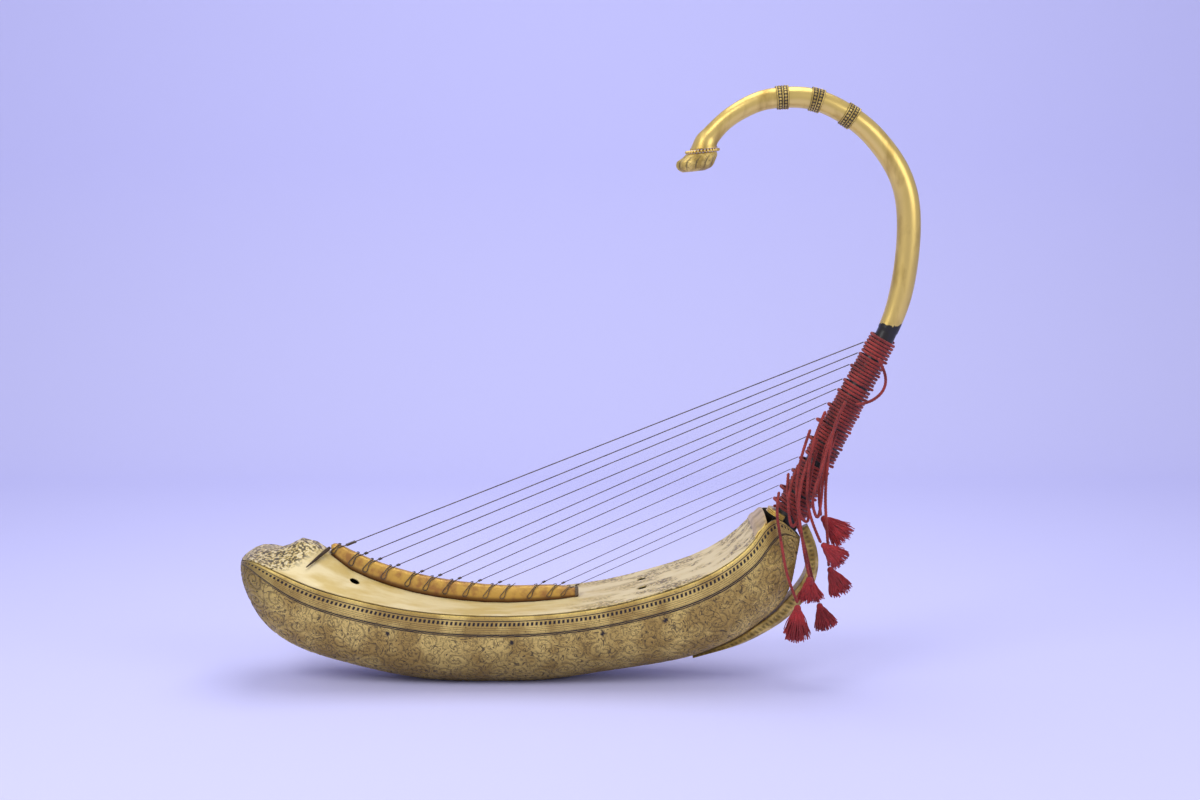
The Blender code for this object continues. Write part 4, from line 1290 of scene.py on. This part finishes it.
    def build_bands(self, material: Material) -> None:
        """Relief bands: two rows of beads between raised edges round the neck.

        Args:
            material: its finish.
        """
        line, radius, run = self.stations(self.band_stations)
        rows, sides = self.band_grid
        turn = circle(sides)[None, :]
        share = np.linspace(-0.5, 0.5, rows)[:, None]
        edge = sum(bell(share, *line_at) for line_at in self.band_edges)
        beads = np.abs(np.cos(self.band_beads * turn)) * sum(bell(share, *row) for row in self.band_rows)
        raised = np.clip(edge + self.band_bead * beads, 0.0, 1.0)
        dark = 1.0 - ramp(raised, *self.band_hollow)
        recess = np.concatenate([dark, np.ones_like(raised), dark[:1]])
        for number, centre in enumerate(self.bands, start=1):
            place = centre + share[:, 0] * self.band_length
            part = resample(line, place / run[-1])
            inner = np.interp(place, run, radius)[:, None] + self.band_gap
            outer = self.rings(part, inner + self.band_floor + self.band_height * raised, sides)
            inside = self.rings(part, inner + 0.0 * turn, sides)
            grid = np.concatenate([outer, inside[::-1], outer[:1]])
            piece = surface(f"relief_band_{number}", grid, wrap=True, recess=recess)
            settle(piece, material, Slot.TRIM, ROOT, f"neck_band_{number}")

    def build_finial(self, gilt: Material, bright: Material) -> None:
        """Flared leaf foot with ribs, and a ring of beads above it.

        Args:
            gilt: finish of the leaf foot.
            bright: finish of the beads.
        """
        table = np.array(self.finial)
        count, sides = self.finial_grid
        rows = np.linspace(0.0, 1.0, count)
        knots = np.linspace(0.0, 1.0, len(table))
        x, z, half_x, half_y = (steady(list(zip(knots, column)), rows)[:, None] for column in table.T)
        turn = circle(sides)[None, :]
        ribs = 0.5 + 0.5 * np.cos(self.finial_ribs * turn)
        belly = np.sin(math.pi * rows)[:, None]
        fold = 1.0 - self.finial_fold * ribs * belly
        out = half_x * fold * np.cos(turn)
        grid = np.stack([x + out, half_y * fold * np.sin(turn), z + self.tip_slope * out], axis=2)
        recess = self.finial_dark * ramp(ribs, *self.finial_hollow) * belly
        piece = surface("leaf_finial", grid, wrap=True, capped=True, recess=recess)
        settle(piece, gilt, Slot.TRIM, ROOT, "finial")
        turn = circle(self.ring_beads)
        out = self.ring_half[0] * np.cos(turn)
        centres = np.stack([self.ring_centre[0] + out, self.ring_half[1] * np.sin(turn),
                            self.ring_centre[1] + self.tip_slope * out], axis=1)
        piece = merged("bead_ring", [ball("bead", centre, self.bead, *self.bead_grid) for centre in centres])
        settle(piece, bright, Slot.NECK, ROOT, "finial_ring")

    def build_strut(self, material: Material) -> None:
        """Curved rib with a row of carved lozenges between two edges on its outer face.

        Args:
            material: its finish.
        """
        count, columns = self.strut_grid
        outer, inner = spline(self.strut_outer, count), spline(self.strut_inner, count)
        half = steady(self.strut_half, np.linspace(0.0, 1.0, count))[:, None]
        loop = np.array(self.strut_corners + self.strut_corners[:1])
        around = np.linspace(0.0, len(loop) - 1, columns + 1)[:-1]
        share, across = (np.interp(around, np.arange(len(loop)), side)[None, :] for side in loop.T)
        run = run_along(outer)[:, None]
        centred = np.abs(across)
        beat = np.abs(np.cos(math.pi * run / self.strut_lozenge))
        row = beat * ramp(centred, *self.lozenge_side) * ramp(share, *self.lozenge_top)
        notches = bell(share, *self.notch_row) * np.abs(np.cos(math.pi * run / self.strut_notch))
        face = ramp(share, *self.face_top) * ramp(centred, *self.face_side)
        dark = np.clip(self.face_dark * (1.0 - row) * face + self.notch_dark * notches, 0.0, 1.0)
        grow = share * (1.0 + self.strut_proud * row)
        x, z = (inner[:, None, axis] + (outer - inner)[:, None, axis] * grow for axis in (0, 1))
        piece = surface("carved_strut", np.stack([x, half * across, z], axis=2), wrap=True, capped=True,
                        recess=dark)
        settle(piece, material, Slot.TRIM, ROOT, "rear_strut")

    def build_collar(self, material: Material) -> None:
        """Collar in front of the neck: three rounded ridges that thin out round its sides.

        Args:
            material: its finish.
        """
        origin, down, front, near = self.frame()
        start, end = self.collar_span
        rows, columns = self.collar_grid
        share = np.linspace(0.0, 1.0, columns)
        wave = np.abs(np.sin(self.collar_ridges * math.pi * share))
        ridges = 1.0 - self.collar_wave + self.collar_wave * wave
        profile_h = np.concatenate([[0.0], self.collar_thickness * ridges, [0.0]])
        profile_a = np.concatenate([[end], end + (start - end) * share, [start]])
        angle = np.linspace(-self.collar_reach, self.collar_reach, rows)[:, None]
        taper = 1.0 - self.collar_thin + self.collar_thin * np.cos(0.5 * math.pi * angle / self.collar_reach)
        out = (self.thickness(end) + self.collar_gap + profile_h[None, :] * taper)[..., None]
        direction = front * np.cos(angle)[..., None] + near * np.sin(angle)[..., None]
        grid = origin + down * profile_a[None, :, None] + direction * out
        piece = surface("ridged_collar", grid, wrap=True, capped=True)
        settle(piece, material, Slot.NECK, ROOT, "collar")


@dataclass
class Strings:
    """Twelve strings with their ties and knots, and one spare tie."""

    bar: StringBar
    neck: Neck
    bar_x: tuple[float, ...] = (
        -0.213, -0.187, -0.167, -0.141, -0.107, -0.081, -0.053, -0.024, 0.005, 0.068, 0.096, 0.116)
    axial: tuple[float, ...] = (
        0.0305, 0.0475, 0.0677, 0.0904, 0.1069, 0.1311, 0.1578, 0.1852, 0.2179, 0.2384, 0.2667, 0.287)
    radial: tuple[float, ...] = (
        0.022, 0.022, 0.025, 0.024, 0.025, 0.028, 0.032, 0.0295, 0.0275, 0.029, 0.033, 0.033)
    first_radius: float = 0.8 * MM
    last_radius: float = 0.5 * MM
    spare_x: float = 0.029
    spare_like: int = 9
    tie_down: Table = (
        (172, -1.0), (145, -0.7), (115, -0.35), (90, -0.15), (65, -0.35), (35, -0.7), (10, -1.0))
    tie_back: Table = ((10, -0.95), (35, -0.65), (65, -0.3), (86, -0.02))
    tie_proud: float = 0.7 * MM
    tie_spacing: float = 1.2 * MM
    tie_points: int = 120
    lean: float = 16 * MM
    knot_reach: float = 5.5 * MM
    knot_height: float = 3.0 * MM
    knot_back: float = 0.5 * MM
    first_knot: float = 15 * MM
    other_knot: float = 5 * MM
    wrap_pitch: float = 2.1
    wrap_radius: float = 1.9
    wrap_sides: int = 6
    wrap_steps: int = 12
    step: float = 1.5 * MM
    spare_step: float = 1.0 * MM
    sides: int = 8
    reference: Vector = (-0.5, 0.0, 0.87)

    def thickness(self, number: int) -> float:
        """Radius of a string: thinner from the first to the last."""
        share = (number - 1) / (len(self.bar_x) - 1)
        return self.first_radius + (self.last_radius - self.first_radius) * share

    def tie(self, x: float, radius: float) -> Array:
        """Points of a tie: far foot, over the bar, near foot, and back up to the knot on top.

        Args:
            x: place on the bar.
            radius: the string's radius.

        Returns:
            The points.
        """
        back = self.tie_spacing + 2.0 * radius
        rows = [(angle, lean, 0.0) for angle, lean in self.tie_down]
        rows += [(angle, lean, back) for angle, lean in self.tie_back]
        points = [self.bar.point(x + self.lean * lean + shift, math.radians(angle), radius + self.tie_proud)
                  for angle, lean, shift in rows]
        points.append(self.bar.point(x + self.knot_reach, math.radians(90.0), radius + self.knot_height))
        return np.array(points)

    def knot(self, centre: Array, along: Array, radius: float, length: float) -> Piece:
        """Close wraps round the string's start: a helix of the same thread along its direction.

        Args:
            centre: where the wraps begin.
            along: the string's direction.
            radius: the thread's radius.
            length: how far the wraps reach.

        Returns:
            The knot.
        """
        turns = max(3, round(length / (self.wrap_pitch * radius)))
        angle = np.linspace(0.0, TURN * turns, self.wrap_steps * turns)
        ring = self.wrap_radius * radius
        path = (centre + along * (length * angle / angle[-1])[:, None]
                + ACROSS * (ring * np.cos(angle))[:, None]
                + np.cross(along, ACROSS) * (ring * np.sin(angle))[:, None])
        return tube("string_knot", path, radius, self.wrap_sides, tuple(along))

    def build(self, material: Material) -> None:
        """Each string with its tie and its wrapped knot, and the spare tie.

        Args:
            material: its finish.
        """
        origin, down, front, _ = self.neck.frame()
        for number, x in enumerate(self.bar_x, start=1):
            radius = self.thickness(number)
            tie = self.tie(x, radius)
            end = origin + down * self.axial[number - 1] + front * self.radial[number - 1]
            path = np.concatenate([spline(tie, self.tie_points), end[None, :]])
            string = cord_piece("string_line", path, radius, self.reference, Lay.SILK, self.step, self.sides)
            along = unit(end - tie[-1])
            size = self.first_knot if number == 1 else self.other_knot
            knot = self.knot(tie[-1] - self.knot_back * along, along, radius, size)
            piece = merged(f"tied_string_{number}", [string, knot])
            settle(piece, material, Slot.STRING, f"string_{number}", f"string_{number}")
        radius = self.thickness(self.spare_like)
        tie = spline(self.tie(self.spare_x, radius), self.tie_points)
        piece = cord_piece("spare_thread", tie, radius, self.reference, Lay.SILK, self.spare_step, self.sides)
        settle(piece, material, Slot.STRING, ROOT, "spare_tie")


@dataclass(frozen=True)
class TasselShape:
    """Size of one tassel: the way it hangs in XZ, its length, its spread and its depth."""

    way: Pair
    length: float
    spread: float
    deep: float


@dataclass
class TuningCords:
    """Red cotton windings on the neck, the loose ends that hang from them, and their tassels."""

    neck: Neck
    strings: Strings
    diameter: float = 4.4 * MM
    pitch: float = 4.9 * MM
    closest: float = 4.55 * MM
    widest: float = 5.2 * MM
    fullest: int = 5
    trim: float = 0.15
    last_turns: float = 2.6
    first_lead: int = 3
    turn_steps: int = 48
    clearance: float = 1.1 * MM
    string_room: float = 0.8 * MM
    drawn_width: float = 0.55
    tail_reach: float = 4 * MM
    tail_lead: float = 0.45
    loop: Table = (
        (0.04, 0.025, 96.0), (0.047, 0.0285, 112.0), (0.06, 0.0325, 140.0), (0.078, 0.035, 155.0),
        (0.096, 0.032, 140.0), (0.108, 0.028, 115.0), (0.113, 0.0255, 100.0))
    routes: tuple[Table, ...] = (
        ((0.488, -0.025, 0.369), (0.475, -0.029, 0.345), (0.467, -0.033, 0.309), (0.465, -0.033, 0.273),
         (0.4685, -0.031, 0.243)),
        ((0.473, -0.0255, 0.392), (0.457, -0.035, 0.353), (0.448, -0.044, 0.304), (0.448, -0.05, 0.262),
         (0.458, -0.055, 0.228), (0.466, -0.056, 0.2095)),
        ((0.501, -0.0262, 0.406), (0.486, -0.035, 0.374), (0.476, -0.042, 0.325), (0.473, -0.043, 0.268),
         (0.477, -0.043, 0.211), (0.4805, -0.033, 0.1705)),
        ((0.452, -0.0265, 0.366), (0.44, -0.037, 0.332), (0.432, -0.046, 0.283), (0.437, -0.054, 0.235),
         (0.445, -0.057, 0.185), (0.4505, -0.057, 0.161)),
        ((0.409, -0.0285, 0.277), (0.405, -0.046, 0.252), (0.409, -0.06, 0.217), (0.418, -0.068, 0.168),
         (0.433, -0.0715, 0.1265)),
        ((0.422, -0.0275, 0.304), (0.421, -0.04, 0.268), (0.437, -0.042, 0.225), (0.45, -0.038, 0.181),
         (0.462, -0.032, 0.136), (0.467, -0.031, 0.117)),
    )
    tassels: tuple[TasselShape, ...] = (
        TasselShape((0.72, -0.69), 0.052, 0.0200, 0.0080), TasselShape((0.75, -0.66), 0.044, 0.0160, 0.0075),
        TasselShape((0.45, -0.89), 0.047, 0.0180, 0.0080), TasselShape((0.05, -1.00), 0.038, 0.0200, 0.0070),
        TasselShape((0.00, -1.00), 0.056, 0.0190, 0.0100), TasselShape((0.35, -0.94), 0.042, 0.0170, 0.0080),
    )
    hanks: tuple[Table, ...] = (
        ((0.492, -0.027, 0.384), (0.476, -0.04, 0.345), (0.462, -0.05, 0.3), (0.456, -0.053, 0.255),
         (0.461, -0.05, 0.245), (0.466, -0.046, 0.262), (0.47, -0.041, 0.3), (0.479, -0.035, 0.335),
         (0.489, -0.028, 0.362)),
        ((0.462, -0.0265, 0.352), (0.446, -0.04, 0.318), (0.436, -0.05, 0.28), (0.44, -0.052, 0.243),
         (0.446, -0.048, 0.238), (0.449, -0.044, 0.262), (0.451, -0.04, 0.292), (0.456, -0.033, 0.318),
         (0.462, -0.027, 0.336)),
        ((0.436, -0.027, 0.316), (0.424, -0.04, 0.285), (0.421, -0.048, 0.255), (0.428, -0.049, 0.232),
         (0.434, -0.045, 0.24), (0.436, -0.04, 0.265), (0.439, -0.032, 0.29), (0.445, -0.0265, 0.306)),
    )
    route_points: int = 240
    hank_points: int = 300
    loop_points: int = 200
    strands: int = 220
    strand_radius: float = 0.8 * MM
    strand_rows: int = 14
    strand_sides: int = 5
    strand_taper: float = 0.75
    strand_sway: float = 0.7 * MM
    strand_waves: float = 9.0
    first_seed: int = 41
    strand_length: float = 0.92
    strand_uneven: float = 0.12
    strand_start: float = 0.16
    throat: float = 0.22
    flare: float = 0.86
    flare_power: float = 0.85
    skirt_wide: float = 0.96
    skirt_deep: float = 0.35
    head_at: float = 0.13
    head_grid: Grid = (12, 18)
    head: Vector = (0.27, 0.25, 0.27)
    bindings: Vector = (0.185, 0.225, 0.265)
    binding_radius: float = 0.9 * MM
    binding_wide: float = 0.24
    binding_flat: float = 0.9
    binding_points: int = 39
    binding_sides: int = 6

    def winding_path(self, number: int) -> Array:
        """Helix round the neck, drawn out towards its string by a bell curve, with ends that stand off.

        Args:
            number: which winding.

        Returns:
            Its centre line.
        """
        origin, down, front, near = self.neck.frame()
        axial = self.strings.axial
        place = axial[number - 1]
        turns, pitch = self.last_turns, self.pitch
        if number < len(axial):
            spacing = axial[number] - place
            turns = min(self.fullest, int(spacing / self.closest))
            pitch = min(spacing / turns, self.widest)
        turns -= 2.0 * self.trim
        cord = 0.5 * self.diameter
        ring = self.neck.thickness(place + turns * pitch) + self.clearance + cord
        lead_turns = self.first_lead if number == 1 else 0
        steps = round((turns + lead_turns) * self.turn_steps)
        first = -math.pi * (1 + 2 * lead_turns) + TURN * self.trim
        angle = first + np.arange(steps + 1) * TURN / self.turn_steps
        drawn = max(0.0, self.strings.radial[number - 1] - ring - cord - self.string_room)
        radial = ring + drawn * bell(angle, 0.0, self.drawn_width)
        along = place + pitch * angle / TURN
        lead = np.array([[-self.tail_lead, self.tail_reach], [-0.5 * self.tail_lead, 0.4 * self.tail_reach]])
        angle = np.concatenate([angle[0] + lead[:, 0], angle, angle[-1] - lead[::-1, 0]])
        radial = np.concatenate([radial[0] + lead[:, 1], radial, radial[-1] + lead[::-1, 1]])
        along = np.concatenate([[along[0]] * 2, along, [along[-1]] * 2])
        return (origin + down * along[:, None] + front * (radial * np.cos(angle))[:, None]
                + near * (radial * np.sin(angle))[:, None])

    def build_windings(self, material: Material) -> None:
        """Laid cotton windings, one on each string's turning body.

        Args:
            material: its finish.
        """
        down = tuple(self.neck.frame()[1])
        for number in range(1, len(self.strings.axial) + 1):
            path = self.winding_path(number)
            piece = cord_piece(f"cotton_winding_{number}", path, 0.5 * self.diameter, down)
            settle(piece, material, Slot.COTTON, f"winding_{number}", f"winding_{number}")

    def build_loop(self, material: Material) -> None:
        """Strand that stands off behind the neck.

        Args:
            material: its finish.
        """
        origin, down, front, near = self.neck.frame()
        place, radius, angle = np.array(self.loop).T
        turn = np.radians(angle)
        points = (origin + down * place[:, None] + front * (radius * np.cos(turn))[:, None]
                  + near * (radius * np.sin(turn))[:, None])
        path = spline(points, self.loop_points)
        piece = cord_piece("cotton_loop", path, 0.5 * self.diameter, (0.0, 1.0, 0.0))
        settle(piece, material, Slot.COTTON, ROOT, "cord_loop")

    def build_hanks(self, material: Material) -> None:
        """Bights of cord that hang down the near side from one winding to another.

        Args:
            material: its finish.
        """
        for number, points in enumerate(self.hanks, start=1):
            path = spline(points, self.hank_points)
            piece = cord_piece(f"hanging_bight_{number}", path, 0.5 * self.diameter, (0.2, 1.0, 0.0))
            settle(piece, material, Slot.COTTON, ROOT)

    def strand_paths(self, shape: TasselShape, end: Array, axis: Array, wide: Array,
                     seed: int) -> list[Array]:
        """Centre lines of a tassel's strands.

        A strand runs from the tassel's throat to its own place in the skirt's end; its side step
        grows as the way down to a power below 1, and it waves by a sine of its own.

        Args:
            shape: the tassel's sizes.
            end: where its cord ends.
            axis: the way it hangs.
            wide: the way it spreads.
            seed: start of the random draws.

        Returns:
            One line of points for each strand.
        """
        chance = np.random.default_rng(seed)
        turn = chance.uniform(0.0, TURN, self.strands)
        out = np.sqrt(chance.uniform(0.0, 1.0, self.strands))
        uneven = self.strand_uneven * chance.uniform(-1.0, 1.0, self.strands)
        reach = shape.length * (self.strand_length + uneven - self.strand_uneven * out ** 2)
        wave = chance.uniform(0.0, TURN, self.strands)
        down = np.linspace(self.strand_start, 1.0, self.strand_rows)
        opened = np.clip((down - self.throat) / (1.0 - self.throat), 0.0, 1.0)
        grow = self.throat + self.flare * opened ** self.flare_power
        sway = self.strand_sway * np.sin(self.strand_waves * down + wave[:, None])
        sideways = (self.skirt_wide * shape.spread * out * np.cos(turn))[:, None] * grow + sway
        inwards = (max(shape.deep, self.skirt_deep * shape.spread) * out * np.sin(turn))[:, None] * grow
        paths = (end + axis * (down * reach[:, None])[..., None] + wide * sideways[..., None]
                 + ACROSS * inwards[..., None])
        return list(paths)

    def build_tassel(self, number: int, material: Material) -> Piece:
        """Tassel: a bound round head and strands that fan out in a skirt.

        Args:
            number: which tassel.
            material: the cotton.

        Returns:
            The tassel.
        """
        shape = self.tassels[number - 1]
        end = np.array(self.routes[number - 1][-1])
        axis = unit(np.array([shape.way[0], 0.0, shape.way[1]]))
        wide = np.array([-axis[2], 0.0, axis[0]])
        radii = self.strand_radius * np.linspace(1.0, self.strand_taper, self.strand_rows)
        reference = tuple(wide * 0.6 + ACROSS * 0.8)
        pieces = [tube("strand", path, radii, self.strand_sides, reference)
                  for path in self.strand_paths(shape, end, axis, wide, self.first_seed + number - 1)]
        size = tuple(part * shape.spread for part in self.head)
        pieces.append(ball("head", end + axis * (self.head_at * shape.length), size, *self.head_grid))
        angle = circle(self.binding_points)
        ring = self.binding_wide * shape.spread
        for share in self.bindings:
            path = (end + axis * (share * shape.length) + wide * (ring * np.cos(angle))[:, None]
                    + ACROSS * (self.binding_flat * ring * np.sin(angle))[:, None])
            closed = np.concatenate([path, path[:2]])
            pieces.append(tube("binding", closed, self.binding_radius, self.binding_sides, tuple(axis)))
        tassel = merged(f"cotton_tassel_{number}", pieces)
        return settle(tassel, material, Slot.COTTON, f"tassel_{number}", f"tassel_{number}")

    def build_loose(self, material: Material, brighter: Material) -> None:
        """Loose cords from the windings down to their tassels.

        Args:
            material: the cords' cotton.
            brighter: the tassels' cotton.
        """
        for number, route in enumerate(self.routes, start=1):
            tassel = self.build_tassel(number, brighter)
            path = spline(route, self.route_points)
            piece = cord_piece(f"hanging_cord_{number}", path, 0.5 * self.diameter, (1.0, 0.0, 0.0))
            settle(piece, material, Slot.COTTON, ROOT, f"loose_cord_{number}")


def dress_kept_nodes(nodes: dict[str, Piece], finishes: dict[str, Material]) -> None:
    """Give the frame's own small pieces their finishes.

    Args:
        nodes: the frame's node objects by name.
        finishes: material of each node that keeps its shape.
    """
    for name, material in finishes.items():
        nodes[name].data.materials.clear()
        nodes[name].data.materials.append(material)
        LOG.info("%s keeps its shape", name)


def main() -> None:
    """Load the frame and dress it."""
    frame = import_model()
    Studio().build()
    carved = CarvedGilding().make()
    # The trim gilding takes the same painted shade towards the bottom as the hull's gilding.
    trim = CarvedGilding(name="trim_gilding", gold="A88C44", patch=16 * MM, outline=0.0).make()
    neck_gilt = BurnishedGilding().make()
    full_gilt = BurnishedGilding(name="collar_gilding", edge_height=-1.0).make()
    bar_wood = GiltBarWood().make()
    silk = SpunThread("twisted_silk", "6A5C4C", "3A3028", 0.1).make()
    twig = SpunThread("dark_twig", "4E3A26", "2A1D12", 0.0).make()
    cotton = SpunThread("red_cotton", "A2362C", "651C18", 0.15).make()
    bright_cotton = SpunThread("tassel_cotton", "B42B2B", "801A1C", 0.2).make()

    boat = Boat()
    boat.build_hull(carved)
    boat.build_skin(LacqueredHide().make())
    boat.build_saddle(full_gilt)
    bar = StringBar(boat)
    bar.build(bar_wood)
    neck = Neck()
    neck.build_neck(neck_gilt)
    neck.build_bands(trim)
    neck.build_finial(trim, full_gilt)
    neck.build_strut(trim)
    neck.build_collar(full_gilt)
    strings = Strings(bar, neck)
    strings.build(silk)
    cords = TuningCords(neck, strings)
    cords.build_windings(cotton)
    cords.build_loop(cotton)
    cords.build_hanks(cotton)
    cords.build_loose(cotton, bright_cotton)
    dress_kept_nodes(frame["nodes"], {"bar_lashing": silk, "bar_peg": twig, "bar_tongue": trim})


if __name__ == "__main__":
    logging.basicConfig(level=logging.INFO)
    main()
